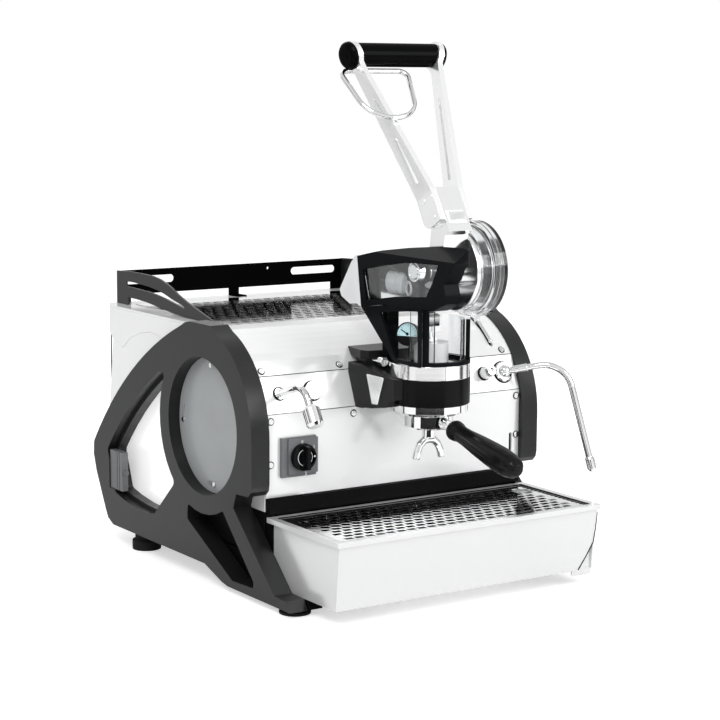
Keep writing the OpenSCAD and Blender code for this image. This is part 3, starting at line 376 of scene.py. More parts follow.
# the dial's own blue, lightened as painted light against the shade inside the mask
dial_blue = moulding("dial_blue", (0.62, 0.90, 1.0), 0.35, 0.02)
print_white = moulding("print_white", (0.85, 0.85, 0.85), 0.5, 0.02, 0.2)
dial_black = moulding("dial_black", (0.01, 0.01, 0.012), 0.3, 0.02)
clear_shell = clear_cover("clear_shell", (0.97, 0.98, 0.985), 0.03)
clear_pane = clear_cover("clear_pane", (0.93, 0.95, 0.96), 0.04)
# painted reflection: the panes' grey stands for the grey the glass mirrors, lightened as painted light
# against the recess's shade
grey_reflection_pane = moulding("grey_reflection_pane", (0.36, 0.375, 0.385), 0.16, 0.01, 0.3)
print("plastics:", black_moulding.name, clear_shell.name, rubber_black.name)

# %% [markdown]
# ## Which finish goes where
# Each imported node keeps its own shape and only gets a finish, through its material slots.

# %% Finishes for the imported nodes
finishes = {
    satin_black: ["frame_left", "frame_right"],
    yoke_black: ["group_yoke"],
    deep_black: ["ledge"],
    rail_black: ["cup_rail"],
    inner_black_and_shade: ["leg_left", "leg_right", "base_pan", "slot_plate", "rear_panel"],
    mirror_sheet: ["panel_lower", "panel_middle", "panel_upper", "top_cover"],
    tray_sheet: ["drip_tray"],
    side_sheet: ["side_cover_left", "side_cover_right"],
    chrome_plate: ["water_spout", "water_nozzle", "steam_knob", "steam_flange", "steam_wand", "wand_sleeve",
                   "mixing_lever", "group_bell", "pipe_nut", "pull_loop", "holder_body", "holder_spout"],
    turned_chrome: ["group_ring", "water_button"],
    hub_steel: ["lever_hub", "piston", "cam_drum"],
    arm_steel: ["lever_arms", "yoke_trim"],
    tray_steel: ["cup_tray"],
    grid_steel: ["drip_grid"],
    spring_steel: ["main_spring", "piston_roller"],
    screw_steel: ["panel_screws"],
    copper_shell: ["steam_boiler"],
    cast_grey: ["motor_pump", "control_box", "rear_blocks"],
    black_moulding: ["switch_knob", "gauge_case", "gauge_needle", "group_band"],
    grip_black: ["grip"],
    handle_black: ["holder_handle"],
    mask_black: ["mask"],
    rubber_black: ["feet"],
    grey_moulding: ["switch_plate"],
    white_moulding_and_reflection: ["group_sleeve"],
    dial_blue: ["gauge_dial"],
    grey_reflection_pane: ["window_left", "window_right"],
    clear_shell: ["drum_cover"],
    clear_pane: ["mask_panes"],
}
finish_of = {name: finish for finish, names in finishes.items() for name in names}
for name, node in nodes.items():
    for slot in node.material_slots:
        slot.material = finish_of[name]
print("finished", len(finish_of), "of", len(nodes), "nodes")

# %% [markdown]
# ## Rounded edges
# Machined plate and moulded covers have broken edges, and those thin rounds carry most of
# the highlights that make a shape readable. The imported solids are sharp, so each visible
# one is copied, its loose triangles are merged, and a bevel is cut along its hard edges.
# The copy then stands for the node. Weighted normals keep the large faces flat. Tubes get
# no bevel, and are only merged and shaded smooth.

# %% Bevelled copies
slots = {part["node"]: part["material_slot"] for part in frame["record"]["subparts"]}
SAME_PLACE = 1e-6
FLAT_ANGLE, HARD_ANGLE, SMOOTH_ANGLE = map(math.radians, (0.6, 32, 40))


def merged_copy(name, ending, flatten):
    """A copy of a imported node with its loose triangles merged."""
    piece = bpy.data.objects.new(name + ending, nodes[name].data.copy())
    bpy.context.scene.collection.objects.link(piece)
    pick(piece)
    bpy.ops.object.mode_set(mode="EDIT")
    bpy.ops.mesh.select_all(action="SELECT")
    bpy.ops.mesh.remove_doubles(threshold=SAME_PLACE)
    if flatten:
        bpy.ops.mesh.dissolve_limited(angle_limit=FLAT_ANGLE)
    bpy.ops.object.mode_set(mode="OBJECT")
    if piece.data.has_custom_normals:
        bpy.ops.mesh.customdata_custom_splitnormals_clear()
    return piece


def stand_for(piece, name):
    """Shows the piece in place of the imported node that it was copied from."""
    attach(piece, nodes[name]["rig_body"])
    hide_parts(name)
    return piece


def softened(name, width, segments):
    """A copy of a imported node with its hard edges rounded, standing for that node."""
    piece = merged_copy(name, "_eased", width > 0)
    if width > 0:
        bevel = piece.modifiers.new("edge_round", "BEVEL")
        bevel.limit_method, bevel.angle_limit = "ANGLE", HARD_ANGLE
        bevel.width, bevel.segments, bevel.use_clamp_overlap = width * MM, segments, True
    weight = piece.modifiers.new("flat_faces", "WEIGHTED_NORMAL")
    weight.keep_sharp = True
    bpy.ops.object.shade_smooth_by_angle(angle=SMOOTH_ANGLE)
    tidy(piece)
    return stand_for(piece, name)


print("finish slots of", len(slots), "nodes read")

# %% [markdown]
# ## How round each edge is
# Widths are in millimetres. Large castings get wide rounds, sheet gets only the trace that
# a deburring wheel leaves. Most rounds have two steps; the largest ones have three.

# %% Rounds
eased = {
    "frame_left": 2.4, "frame_right": 2.4, "leg_left": 1.2, "leg_right": 1.2, "rear_blocks": 1.0,
    "cup_rail": 0.9, "group_yoke": 2.2, "mask": 3.2, "lever_hub": 1.2, "lever_arms": 0.9, "grip": 0.8,
    "ledge": 0.8, "drip_tray": 0.7, "switch_plate": 0.8, "switch_knob": 1.2, "group_ring": 0.7,
    "group_bell": 0.8, "group_band": 0.8, "steam_knob": 0.5, "steam_flange": 0.6, "water_button": 0.6,
    "water_nozzle": 0.7, "mixing_lever": 0.4, "holder_body": 0.8, "cam_drum": 0.8, "drum_cover": 1.2,
    "gauge_case": 0.5, "group_sleeve": 0.8, "piston": 0.5, "panel_screws": 0.7, "pipe_nut": 0.5,
    "feet": 1.0, "window_left": 0.5, "window_right": 0.5, "yoke_trim": 0.6, "mask_panes": 0.3,
    "holder_handle": 0.8, "water_spout": 0, "steam_wand": 0, "wand_sleeve": 0.4, "pull_loop": 0,
    "drip_grid": 0.3, "cup_tray": 0.3, "side_cover_left": 0.5, "side_cover_right": 0.5,
}
BEVEL_STEPS = {"drip_grid": 1, "cup_tray": 1, "mask": 3, "frame_left": 3, "frame_right": 3, "grip": 3,
               "drum_cover": 3}
made = {name: softened(name, width, BEVEL_STEPS.get(name, 2)) for name, width in eased.items()}
print("eased", len(made), "nodes,", sum(len(p.data.polygons) for p in made.values()), "faces")

# %% [markdown]
# ## A second finish on part of a piece
# The low front of a side cover, seen through the leg's slot, is made black, painted shade
# for that recess, and the sheet behind the frame's rear opening is made brighter with painted
# light, yet both belong to the cover's own solid. Their faces are chosen by place and
# given a second material slot, after the cover is cut along the border between them.

# %% Second finish on the side covers
SLOT_SHADE_END, SLOT_SHADE_TOP, RECESS = 380, 5, (219.4, 222)


def refinish(piece, finish, chosen):
    """Gives a second finish to the faces whose middle passes the test, in drawing millimetres."""
    piece.data.materials.append(finish)
    count = 0
    for face in piece.data.polygons:
        if chosen(*drawn(face.center)):
            face.material_index, count = len(piece.data.materials) - 1, count + 1
    print(piece.name, count, "faces in", finish.name)


def cut_along(piece, places):
    """Splits a piece's faces along planes, each a point in drawing millimetres and a direction."""
    pick(piece)
    bpy.ops.object.mode_set(mode="EDIT")
    for place, normal in places:
        bpy.ops.mesh.select_all(action="SELECT")
        bpy.ops.mesh.bisect(plane_co=at(*place), plane_no=normal)
    bpy.ops.object.mode_set(mode="OBJECT")


for name in ("side_cover_left", "side_cover_right"):
    cut_along(made[name], [((0, SLOT_SHADE_END, 0), (0, 1, 0)), ((0, 0, SLOT_SHADE_TOP), (0, 0, 1))])
    # painted shade: the low front seen through the leg's slot is made black
    refinish(made[name], inner_black_and_shade, lambda x, y, z: y < SLOT_SHADE_END and z < SLOT_SHADE_TOP)
    # painted light: the sheet behind the rear opening glows
    refinish(made[name], recess_painted_glow_sheet, lambda x, y, z: RECESS[0] < abs(x) < RECESS[1] and y > SLOT_SHADE_END)

# %% [markdown]
# ## Punched holes
# The tool drags the metal along, so each hole in the grid and in the cup tray is a little
# wider than its punch. The corners of a hole move away from its own middle; odd rows
# stand half a pitch over.

# %% Wider holes
HOLE_GROWTH = 1.3
GRID_PITCH, CUP_PITCH = (390 / 23, 14.0), (368 / 20, 250 / 14)


def opened(piece, columns, rows, pitch, first, size):
    """Moves the corners within size of each hole's middle; first is the first hole's middle."""
    across, deep = pitch
    moved = 0
    for corner in piece.data.vertices:
        x, y, z = drawn(corner.co)
        x, y = x - first[0], y - first[1]
        row = min(rows - 1, max(0, round(y / deep)))
        shift = (row % 2) * across / 2
        column = min(columns - 1, max(0, round((x - shift) / across)))
        dx, dy = x - shift - column * across, y - row * deep
        if abs(dx) < size[0] and abs(dy) < size[1]:
            corner.co.x += dx * (HOLE_GROWTH - 1) * MM
            corner.co.y += dy * (HOLE_GROWTH - 1) * MM
            moved += 1
    print(piece.name, moved, "corners moved")


opened(made["drip_grid"], 23, 10, GRID_PITCH, (-196 + GRID_PITCH[0] * 0.3, 26), (5.9, 4.2))
opened(made["cup_tray"], 20, 14, CUP_PITCH, (-182 + CUP_PITCH[0] * 0.29 + 1, 350.25), (6.4, 5.1))

# %% [markdown]
# ## Guard behind the mask
# The guard's free end sweeps down and back in one slanting edge. Each of its corners, in
# y and z, moves to the place beside it. Then the guard, the wings of the cup rail and the
# tray's basin get their second finish: the clear guard is made white, a painted reflection,
# and the basin is made black, painted shade, so that the holes above it read black.

# %% Guard, rail wings and basin
GUARD_SWEEP = (((240, 351), (226, 352)), ((256, 348), (238, 340)), ((266, 330), (250, 323)),
               ((268, 290), (267, 299)), ((258, 275), (262, 290)), ((240, 274), (240, 281)))
GUARD_FACE, GUARD_END, GUARD_FRONT = -47, 231, 214
WING_X, WING_BACK = 206.5, 655
BASIN_X, BASIN_Y, BASIN_Z = 190, (15, 171), (-77, -6.5)
for corner in made["mask_panes"].data.vertices:
    x, y, z = drawn(corner.co)
    if y > GUARD_END and x < GUARD_FACE:
        old, new = min(GUARD_SWEEP, key=lambda pair: (pair[0][0] - y) ** 2 + (pair[0][1] - z) ** 2)
        corner.co.y += (new[0] - old[0]) * MM
        corner.co.z += (new[1] - old[1]) * MM
refinish(made["cup_rail"], satin_black, lambda x, y, z: abs(x) > WING_X and y < WING_BACK)
# painted reflection: the clear guard's faces are made white for the light it mirrors
refinish(made["mask_panes"], white_moulding_and_reflection, lambda x, y, z: x < GUARD_FACE - 0.4 and y > GUARD_FRONT)
# painted shade: the inside of the tray's basin is made black
refinish(made["drip_tray"], inner_black_and_shade, lambda x, y, z: abs(x) < BASIN_X
         and BASIN_Y[0] < y < BASIN_Y[1] and BASIN_Z[0] < z < BASIN_Z[1])

# %% [markdown]
# ## Screws in the side panes
# Four bright screws hold each side pane. They belong to the pane's solid, so they are
# widened about their own middles, turned a little about the pane's middle and refinished.

# %% Pane screws
PANE_Y, PANE_Z, SCREW_RING = 318, 109, 86
PANE_FACE, SCREW_FACE = 232.05, 232.3
SCREW_GROWTH, PANE_TURN = 1.2, math.radians(-13)
for name in ("window_left", "window_right"):
    for corner in made[name].data.vertices:
        x, y, z = drawn(corner.co)
        if abs(x) > PANE_FACE:
            y, z = y - PANE_Y, z - PANE_Z
            hub_y, hub_z = SCREW_RING * Vector((y, z)).normalized()
            y, z = hub_y + (y - hub_y) * SCREW_GROWTH, hub_z + (z - hub_z) * SCREW_GROWTH
            swung_y = y * math.cos(PANE_TURN) - z * math.sin(PANE_TURN)
            swung_z = y * math.sin(PANE_TURN) + z * math.cos(PANE_TURN)
            corner.co = at(x, swung_y + PANE_Y, swung_z + PANE_Z)
    refinish(made[name], screw_steel, lambda x, y, z: abs(x) > SCREW_FACE)

# %% [markdown]
# ## Twin spout
# The spout is one casting, poured in two soft horns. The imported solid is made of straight
# tubes, so a copy is remeshed into one skin and relaxed a little: that melts the joints
# together, as the sand mould does.

# %% Cast twin spout
def cast_skin(name, voxel, rounds):
    """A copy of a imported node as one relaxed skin, standing for that node."""
    piece = merged_copy(name, "_cast", False)
    skin = piece.modifiers.new("skin", "REMESH")
    skin.mode, skin.voxel_size = "VOXEL", voxel * MM
    relax = piece.modifiers.new("relax", "SMOOTH")
    relax.factor, relax.iterations = 0.5, rounds
    tidy(piece)
    bpy.ops.object.shade_smooth()
    stand_for(piece, name)
    print(piece.name, len(piece.data.polygons), "faces")


cast_skin("holder_spout", 0.8, 14)

# %% [markdown]
# ## Barrel behind the upper window
# Through the mask's upper window a pale barrel shows. It is a cylinder whose ends are
# drawn in by a bevel, then flattened to the depth of the mask's cavity.

# %% Window barrel
BARREL_X, BARREL_Z, BARREL_FRONT, BARREL_BACK = -40.6, 320.5, 115.0, 157.0
BARREL_R, BARREL_DEPTH = 15.5, 13.0
BARREL_FLAT = BARREL_DEPTH / 2 / BARREL_R
bpy.ops.object.select_all(action="DESELECT")
bpy.ops.mesh.primitive_cylinder_add(vertices=40, radius=BARREL_R * MM, rotation=(math.pi / 2, 0, 0),
                                    depth=(BARREL_BACK - BARREL_FRONT) * MM)
barrel = bpy.context.active_object
barrel.name = "window_barrel"
ends = barrel.modifiers.new("drawn_ends", "BEVEL")
ends.limit_method, ends.width, ends.segments = "ANGLE", 7 * MM, 5
tidy(barrel)
barrel.scale = (BARREL_FLAT, 1, 1)
barrel.location = at(BARREL_X, (BARREL_FRONT + BARREL_BACK) / 2, BARREL_Z)
tidy(barrel)
bpy.ops.object.shade_smooth_by_angle(angle=math.radians(50))
barrel.data.materials.append(white_moulding_and_reflection)
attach(barrel, nodes["mask"]["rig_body"])
print("barrel", round(BARREL_BACK - BARREL_FRONT), "mm long")

# %% [markdown]
# ## Shade in the panel seams
# A seam between two bright sheets reads black with the shade inside it, and a black strip
# behind it paints that shade. Each strip is flat, with a rib that stands into the seam: a bar
# is stretched along the body, and its front face is inset and pushed forward.

# %% Painted shade strips behind the seams
STRIP_HALF, STRIP_DEPTH, RIB_WIDTH, RIB_HEIGHT = 217.0, 1.4, 0.9, 0.9
# black rubber for gaskets, ring seams and edging, and painted shade in the panel seams
rubber_and_seam_shade = moulding("rubber_and_seam_shade", (0.006, 0.006, 0.007), 0.6, 0.05, 0.1)


def seam_shade_strip(name, place, lean, height):
    """A ribbed black strip along the body, painted shade for a seam, at a place in drawing millimetres and
    a lean in radians.
    """
    bpy.ops.object.select_all(action="DESELECT")
    bpy.ops.mesh.primitive_cube_add(size=1, location=(0, 0, 0))
    seal = bpy.context.active_object
    seal.name = name
    seal.scale = (2 * STRIP_HALF * MM, STRIP_DEPTH * MM, height * MM)
    bpy.ops.object.transform_apply(location=False, rotation=False, scale=True)
    bpy.ops.object.mode_set(mode="EDIT")
    bpy.ops.mesh.select_mode(type="FACE")
    bpy.ops.mesh.select_all(action="DESELECT")
    shape = bmesh.from_edit_mesh(seal.data)
    for face in shape.faces:
        face.select = face.normal.y < -0.9
    bmesh.update_edit_mesh(seal.data)
    bpy.ops.mesh.inset(thickness=(height / 2 - RIB_WIDTH / 2) * MM)
    bpy.ops.mesh.extrude_region_move(TRANSFORM_OT_translate={"value": (0, -RIB_HEIGHT * MM, 0)})
    bpy.ops.object.mode_set(mode="OBJECT")
    seal.rotation_euler = (lean, 0, 0)
    seal.location = at(*place)
    tidy(seal)
    seal.data.materials.append(rubber_and_seam_shade)
    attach(seal, nodes["panel_lower"]["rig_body"])


# the middle panel leans back by so much over its height
KNEE_DEPTH, KNEE_HEIGHT, KNEE_Y, KNEE_Z = 20.8, 50.4, 188, 141.6
KNEE_LEAN = math.atan2(KNEE_DEPTH, KNEE_HEIGHT)
# painted shade: two black strips behind the seams of the middle panel
seam_shade_strip("seam_shade_lower", (0, 192.6, KNEE_Z), 0, 10)
seam_shade_strip("seam_shade_upper", (0, 212.9, 190.9), -KNEE_LEAN, 9)
print("two seals,", 2 * STRIP_HALF, "mm long")

# %% [markdown]
# ## Rings under the fittings
# Every fitting and screw on the bright panels sits on a thin black gasket, which draws
# its outline. One round wire section is spun about an axis, its seam is merged, and the
# ring is then stood on the panel along that panel's normal.

# %% Gaskets
def spun_ring(name, place, normal, radius, wire, finish, body, steps=40):
    """A ring of round wire about a normal, at a place in drawing millimetres."""
    bpy.ops.object.select_all(action="DESELECT")
    bpy.ops.mesh.primitive_circle_add(vertices=8, radius=wire * MM, location=(radius * MM, 0, 0),
                                      rotation=(math.pi / 2, 0, 0))
    ring = bpy.context.active_object
    ring.name = name
    bpy.ops.object.mode_set(mode="EDIT")
    bpy.ops.mesh.select_all(action="SELECT")
    bpy.ops.mesh.spin(steps=steps, angle=2 * math.pi, center=(0, 0, 0), axis=(0, 0, 1))
    bpy.ops.mesh.select_all(action="SELECT")
    bpy.ops.mesh.remove_doubles(threshold=SAME_PLACE)
    bpy.ops.mesh.normals_make_consistent(inside=False)
    bpy.ops.object.mode_set(mode="OBJECT")
    stood = Vector(normal).to_track_quat("Z", "Y").to_matrix().to_4x4()
    ring.matrix_world = Matrix.Translation(at(*place)) @ stood @ ring.matrix_world
    tidy(ring)
    bpy.ops.object.shade_smooth()
    ring.data.materials.append(finish)
    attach(ring, body)
    return ring


OUT_Y, OUT_Z = -0.9244, 0.3814
MID_OUT, FRONT_OUT = (0, OUT_Y, OUT_Z), (0, -1, 0)


def mid_panel(x, z, off):
    """A place on the leaning panel, so many millimetres out from it."""
    return (x, KNEE_Y + (z - KNEE_Z) * KNEE_DEPTH / KNEE_HEIGHT + OUT_Y * off, z + OUT_Z * off)


GASKET_WIRE, GASKET_OUT = 1.0, 0.7
panel_body, panel_slot = nodes["panel_middle"]["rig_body"], slots["feet"]
for name, x, z, radius in (("gasket_button", -140, 167.3, 13.8), ("gasket_spout", -194, 167.7, 8.9),
                           ("gasket_wand", 197, 167.3, 16.0), ("gasket_knob", 162, 167.6, 9.8)):
    spun_ring(name, mid_panel(x, z, GASKET_OUT), MID_OUT, radius, GASKET_WIRE, rubber_and_seam_shade,
              panel_body)
SCREW_GASKET_R, SCREW_GASKET_WIRE, SCREW_GASKET_STEPS = 4.7, 0.7, 24
ARC_Y, ARC_Z, ARC_R, ARC_TURN = 331, 105, 150.5, math.radians(141.4)
arc_out = (0, math.cos(ARC_TURN), math.sin(ARC_TURN))
arc_screws = [(x, ARC_Y + ARC_R * arc_out[1], ARC_Z + ARC_R * arc_out[2]) for x in (-214, -85, 206)]
low_screws = [(x, 187.5, z) for x, z in ((-214, 132), (-77, 132), (215, 132), (-214, 71), (216, 73))]
for row, out, places in (("arc", arc_out, arc_screws), ("low", FRONT_OUT, low_screws)):
    for number, place in enumerate(places):
        spun_ring("gasket_%s_%d" % (row, number), place, out, SCREW_GASKET_R, SCREW_GASKET_WIRE,
                  rubber_and_seam_shade, panel_body, SCREW_GASKET_STEPS)
print("gaskets under 12 fittings")

# %% [markdown]
# ## Rings on the barrel
# The barrel behind the upper window has a retaining ring near its front end and a fine
# steel collar, which is flattened just as the barrel is.

# %% Barrel rings
mask_body, sleeve_slot = nodes["mask"]["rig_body"], slots["group_sleeve"]
spun_ring("barrel_ring", (-41, 105.5, 315), (-1, 0.25, 0), 9.0, 1.7, white_moulding_and_reflection, mask_body)
collar = spun_ring("barrel_collar", (BARREL_X, 128, BARREL_Z), (0, 1, 0), 15.4, 0.5, screw_steel,
                   mask_body)
barrel_middle = at(BARREL_X, 0, 0).x
for corner in collar.data.vertices:
    corner.co.x = barrel_middle + (corner.co.x - barrel_middle) * BARREL_FLAT
print("ring and collar on the barrel")

# %% [markdown]
# ## Marks on the switch
# A rotary switch needs its positions. Plain numbers are set as text, made a mesh and laid
# on the plate. The knob carries a white ring and a dot that turn with it.

# %% Switch numbers, ring and dot
KNOB_X, SWITCH_Z, PLATE_FACE, KNOB_FACE = -168, 80, 179, 171
MARK_SIZE, MARK_THICK, MARK_BOLD = 6.4, 0.12, 0.08
for sign, dx, dz in (("0", 0, 20.6), ("1", 19.5, 12), ("2", 6, -24.4)):
    bpy.ops.object.select_all(action="DESELECT")
    place = at(KNOB_X + dx, PLATE_FACE - 0.1, SWITCH_Z + dz)
    bpy.ops.object.text_add(location=place, rotation=(math.pi / 2, 0, 0))
    mark = bpy.context.active_object
    mark.name = "switch_mark_" + sign
    text = mark.data
    text.body, text.size, text.extrude, text.offset = sign, MARK_SIZE * MM, MARK_THICK * MM, MARK_BOLD * MM
    text.align_x, text.align_y, text.resolution_u = "CENTER", "CENTER", 4
    bpy.ops.object.convert(target="MESH")
    tidy(mark)
    mark.data.materials.append(print_white)
    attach(mark, nodes["switch_plate"]["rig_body"])
knob_body, knob_slot = nodes["switch_knob"]["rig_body"], slots["switch_knob"]
for name, place, radius, wire, steps in (
        ("knob_ring", (KNOB_X, KNOB_FACE, SWITCH_Z), 11.6, 0.5, 40),
        ("knob_dot", (KNOB_X + 15.4, KNOB_FACE - 0.1, SWITCH_Z + 0.5), 0.75, 0.8, 16)):
    spun_ring(name, place, FRONT_OUT, radius, wire, print_white, knob_body, steps)
print("switch marked 0, 1, 2")

# %% [markdown]
# ## Marks on the dial
# The gauge has a half-round scale. One short bar is made, chamfered and copied round the
# arc; every copy has its own mesh before they are joined.

# %% Dial scale
GAUGE_PLACE, GAUGE_TURN, GAUGE_TILT = (-38.5, 111.8, 251), math.radians(-58), math.radians(78)
SCALE_R, SCALE_START, SCALE_STEP, BARS = 13.6, -6, 16, 13
BAR_WIDTH, BAR_THICK, BAR_HEIGHT, LONG_BAR, SHORT_BAR = 0.42, 0.16, 0.68, 3.0, 1.8
dial_frame = Matrix.Translation(at(*GAUGE_PLACE)) @ Matrix.Rotation(GAUGE_TURN, 4, "Z")
dial_frame = dial_frame @ Matrix.Rotation(GAUGE_TILT, 4, "X")
ticks = []
for number in range(BARS):
    bpy.ops.object.select_all(action="DESELECT")
    long = LONG_BAR if number % 3 == 0 else SHORT_BAR
    bpy.ops.mesh.primitive_cube_add(size=1, location=((SCALE_R - long / 2) * MM, 0, BAR_HEIGHT * MM))
    tick = bpy.context.active_object
    tick.scale = (long * MM, BAR_WIDTH * MM, BAR_THICK * MM)
    tick.modifiers.new("chamfer", "BEVEL")
    tidy(tick)
    turn = math.radians(SCALE_START + SCALE_STEP * number)
    tick.matrix_world = dial_frame @ Matrix.Rotation(turn, 4, "Z")
    tidy(tick)
    ticks.append(tick)
pick(*ticks)
bpy.ops.object.join()
scale = bpy.context.active_object
scale.name = "gauge_scale"
scale.data.materials.append(dial_black)
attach(scale, nodes["gauge_dial"]["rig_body"])
print("scale of", len(ticks), "bars")

# %% [markdown]
# ## Seams in the ring
# The polished ring is rolled from two lengths, and their butt joints show as two fine
# upright lines. Each is a thin dark bar, let in almost flush.

# %% Ring seams
GROUP_Y, RING_R, RING_LOW, RING_HIGH = 112, 57, 190, 210
SEAM_DEPTH, SEAM_WIDTH, SEAM_SUNK, SEAM_SHORT, SEAM_CHAMFER = 0.5, 0.55, 0.15, 0.8, 0.12
for number, bearing in enumerate((-102.9, -163.9)):
    bpy.ops.object.select_all(action="DESELECT")
    bpy.ops.mesh.primitive_cube_add(size=1, location=((RING_R - SEAM_SUNK) * MM, 0, 0))
    joint = bpy.context.active_object
    joint.name = "ring_seam_%d" % number
    joint.scale = (SEAM_DEPTH * MM, SEAM_WIDTH * MM, (RING_HIGH - RING_LOW - SEAM_SHORT) * MM)
    bpy.ops.object.transform_apply(location=True, rotation=False, scale=True)
    chamfer = joint.modifiers.new("chamfer", "BEVEL")
    chamfer.width = SEAM_CHAMFER * MM
    turned = Matrix.Rotation(math.radians(bearing), 4, "Z")
    joint.matrix_world = Matrix.Translation(at(0, GROUP_Y, (RING_LOW + RING_HIGH) / 2)) @ turned
    tidy(joint)
    joint.data.materials.append(rubber_and_seam_shade)
    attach(joint, nodes["group_ring"]["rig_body"])
print("ring seams at two bearings")

# %% [markdown]
# ## Dark edge of the tray's cut corner
# The front panel is cut away at its lower corner, and a black edging is pressed on the
# cut. It is a thin wire along the cut's corners. A second wire, the rim's seal, runs
# round the inside of the tray's rim.

# %% Cut edging
CUT_EDGE = ((221.4, 3.6, -12), (220.4, 5.4, -36), (217.9, 6.6, -56), (206, 8.3, -76), (193.5, 9.7, -94.6))
RIM_EDGE = ((-214.2, 11.3, -1.2), (214.2, 11.3, -1.2), (214.2, 171.0, -1.2), (-214.2, 171.0, -1.2))


def wire_run(name, places, radius, closed, finish, body):
    """A round wire through places in drawing millimetres, made a mesh."""
    bpy.ops.object.select_all(action="DESELECT")
    path = bpy.data.curves.new(name, "CURVE")
    path.dimensions, path.use_fill_caps = "3D", True
    path.bevel_depth, path.bevel_resolution = radius * MM, 2
    run = path.splines.new("POLY")
    run.points.add(len(places) - 1)
    run.use_cyclic_u = closed
    for point, place in zip(run.points, places):
        point.co = (*at(*place), 1)
    wire = bpy.data.objects.new(name, path)
    bpy.context.scene.collection.objects.link(wire)
    pick(wire)
    bpy.ops.object.convert(target="MESH")
    tidy(wire)
    wire.data.materials.append(finish)
    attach(wire, body)


tray_body, tray_slot = nodes["drip_tray"]["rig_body"], slots["drip_tray"]
wire_run("tray_edging", CUT_EDGE, 0.8, False, rubber_and_seam_shade, tray_body)
wire_run("rim_seal", RIM_EDGE, 1.0, True, rubber_and_seam_shade, tray_body)
print("edging of", len(CUT_EDGE), "points")

# %% [markdown]
# ## Studio
# A pale floor stands under a soft, even room. The floor adds a little light of its own to
# the lens alone, which lifts it to white and still leaves the object's shadow on it.
# Black cloths lie on it for the reflections alone: a wide one toward the lens and narrow
# ones at the sides. Upright chrome shows them as dark fields and lines.

# %% Floor and its cloths
LENS_BEARING = -math.pi / 2 - VIEW_TURN
CLOTH_X, CLOTH_Y, CLOTH_FADE, CLOTH_EDGE = -0.03, -0.17, 1.5, 12.0
# each cloth: from and to in degrees from the lens's bearing, near and far edge in metres
CLOTHS = ((-41, 43, 0.75, 1.72), (-99, -90, 0.6, 9), (-140, -128, 0.6, 9), (100, 106, 0.6, 9),
          (150, 181, 0.6, 9), (-181, -160, 0.6, 9))
bpy.ops.object.select_all(action="DESELECT")
bpy.ops.mesh.primitive_plane_add(size=12.0, location=(0, 0, 0))
floor = bpy.context.active_object
floor.name = "floor"
floor_finish = Finish("pale_floor", Roughness=0.9, Specular_IOR_Level=0.2)
floor_speck = floor_finish.noise(3.0, 2.0)
floor_dark, floor_light = (0.86, 0.86, 0.86, 1), (0.88, 0.88, 0.88, 1)
floor_finish.set("Base Color", floor_finish.mix(floor_speck, floor_dark, floor_light))
floor_x, floor_y = floor_finish.node("NewGeometry", out="Position").axes()[:2]
floor_x, floor_y = floor_x - CLOTH_X, floor_y - CLOTH_Y
reach = (floor_x * floor_x + floor_y * floor_y) ** 0.5
along = floor_x * math.cos(LENS_BEARING) + floor_y * math.sin(LENS_BEARING)
aside = floor_y * math.cos(LENS_BEARING) - floor_x * math.sin(LENS_BEARING)
swing = aside.math("ARCTAN2", aside, along) * (180 / math.pi)


def cloth(low, high, near, far):
    """One where the cloth lies on the floor and nought elsewhere, with a soft edge."""
    sides = ((swing - low) / CLOTH_FADE + 0.5).clamp() * ((high - swing) / CLOTH_FADE + 0.5).clamp()
    return sides * ((reach - near) * CLOTH_EDGE + 0.5).clamp() * ((far - reach) * CLOTH_EDGE + 0.5).clamp()


cloths = sum((cloth(*measures) for measures in CLOTHS[1:]), cloth(*CLOTHS[0])).clamp()
print(len(CLOTHS), "cloths on the floor")

# %% [markdown]
# ## What the floor shows to whom
# The lens sees the floor with its full glow, and reflections and clear covers see less of
# it. Where a cloth lies, a reflection meets black instead.

# %% Floor light
FLOOR_GLOW, GLOW_IN_SHEEN, CLOTH_COVER = 0.55, 0.4, 0.98
kinds = ("Is Camera Ray", "Is Glossy Ray", "Is Transmission Ray")
lens_ray, sheen_ray, clear_ray = (floor_finish.node("LightPath", out=kind) for kind in kinds)
seen = lens_ray.largest(sheen_ray.largest(clear_ray) * GLOW_IN_SHEEN)
glow = floor_finish.node("Emission", {"Color": (1, 1, 1, 1), "Strength": FLOOR_GLOW})
bare = floor_finish.node("Emission", {"Color": (0, 0, 0, 1), "Strength": 0.0})
lift = floor_finish.node("MixShader", {0: seen, 1: bare, 2: glow})
paint = Wire(floor_finish.tree, floor_finish.shader.outputs[0])
total = floor_finish.node("AddShader", {0: paint, 1: lift})
covered = floor_finish.node("MixShader", {0: sheen_ray * cloths * CLOTH_COVER, 1: total, 2: bare})
floor_finish.feed(floor_finish.tree.nodes["Material Output"].inputs["Surface"], covered)
floor.data.materials.append(floor_finish.material)
print("floor glow", FLOOR_GLOW)

# %% [markdown]
# ## Lamps
# Three wide lamps: the key from the lens's left, a fill from its right and one behind.
# They are large disks, so that shadows stay soft.

# %% Lamps
LAMP_SIZE = 1.6


def soft_lamp(name, place, target, power):
    """A round lamp at a place, aimed at a target, with its power in watts."""
    lamp = bpy.data.lights.new(name, "AREA")
    lamp.shape, lamp.size, lamp.energy = "DISK", LAMP_SIZE, power
    holder = bpy.data.objects.new(name, lamp)
    bpy.context.scene.collection.objects.link(holder)
    holder.location = place
    holder.rotation_euler = (Vector(target) - Vector(place)).to_track_quat("-Z", "Y").to_euler()


soft_lamp("key_lamp", (-1.8, -1.6, 2.6), (0, 0, 0.3), 34)
soft_lamp("fill_lamp", (1.3, -2.4, 1.5), (0, 0, 0.3), 30)
soft_lamp("back_lamp", (0.6, 2.6, 2.2), (0, 0, 0.4), 16)

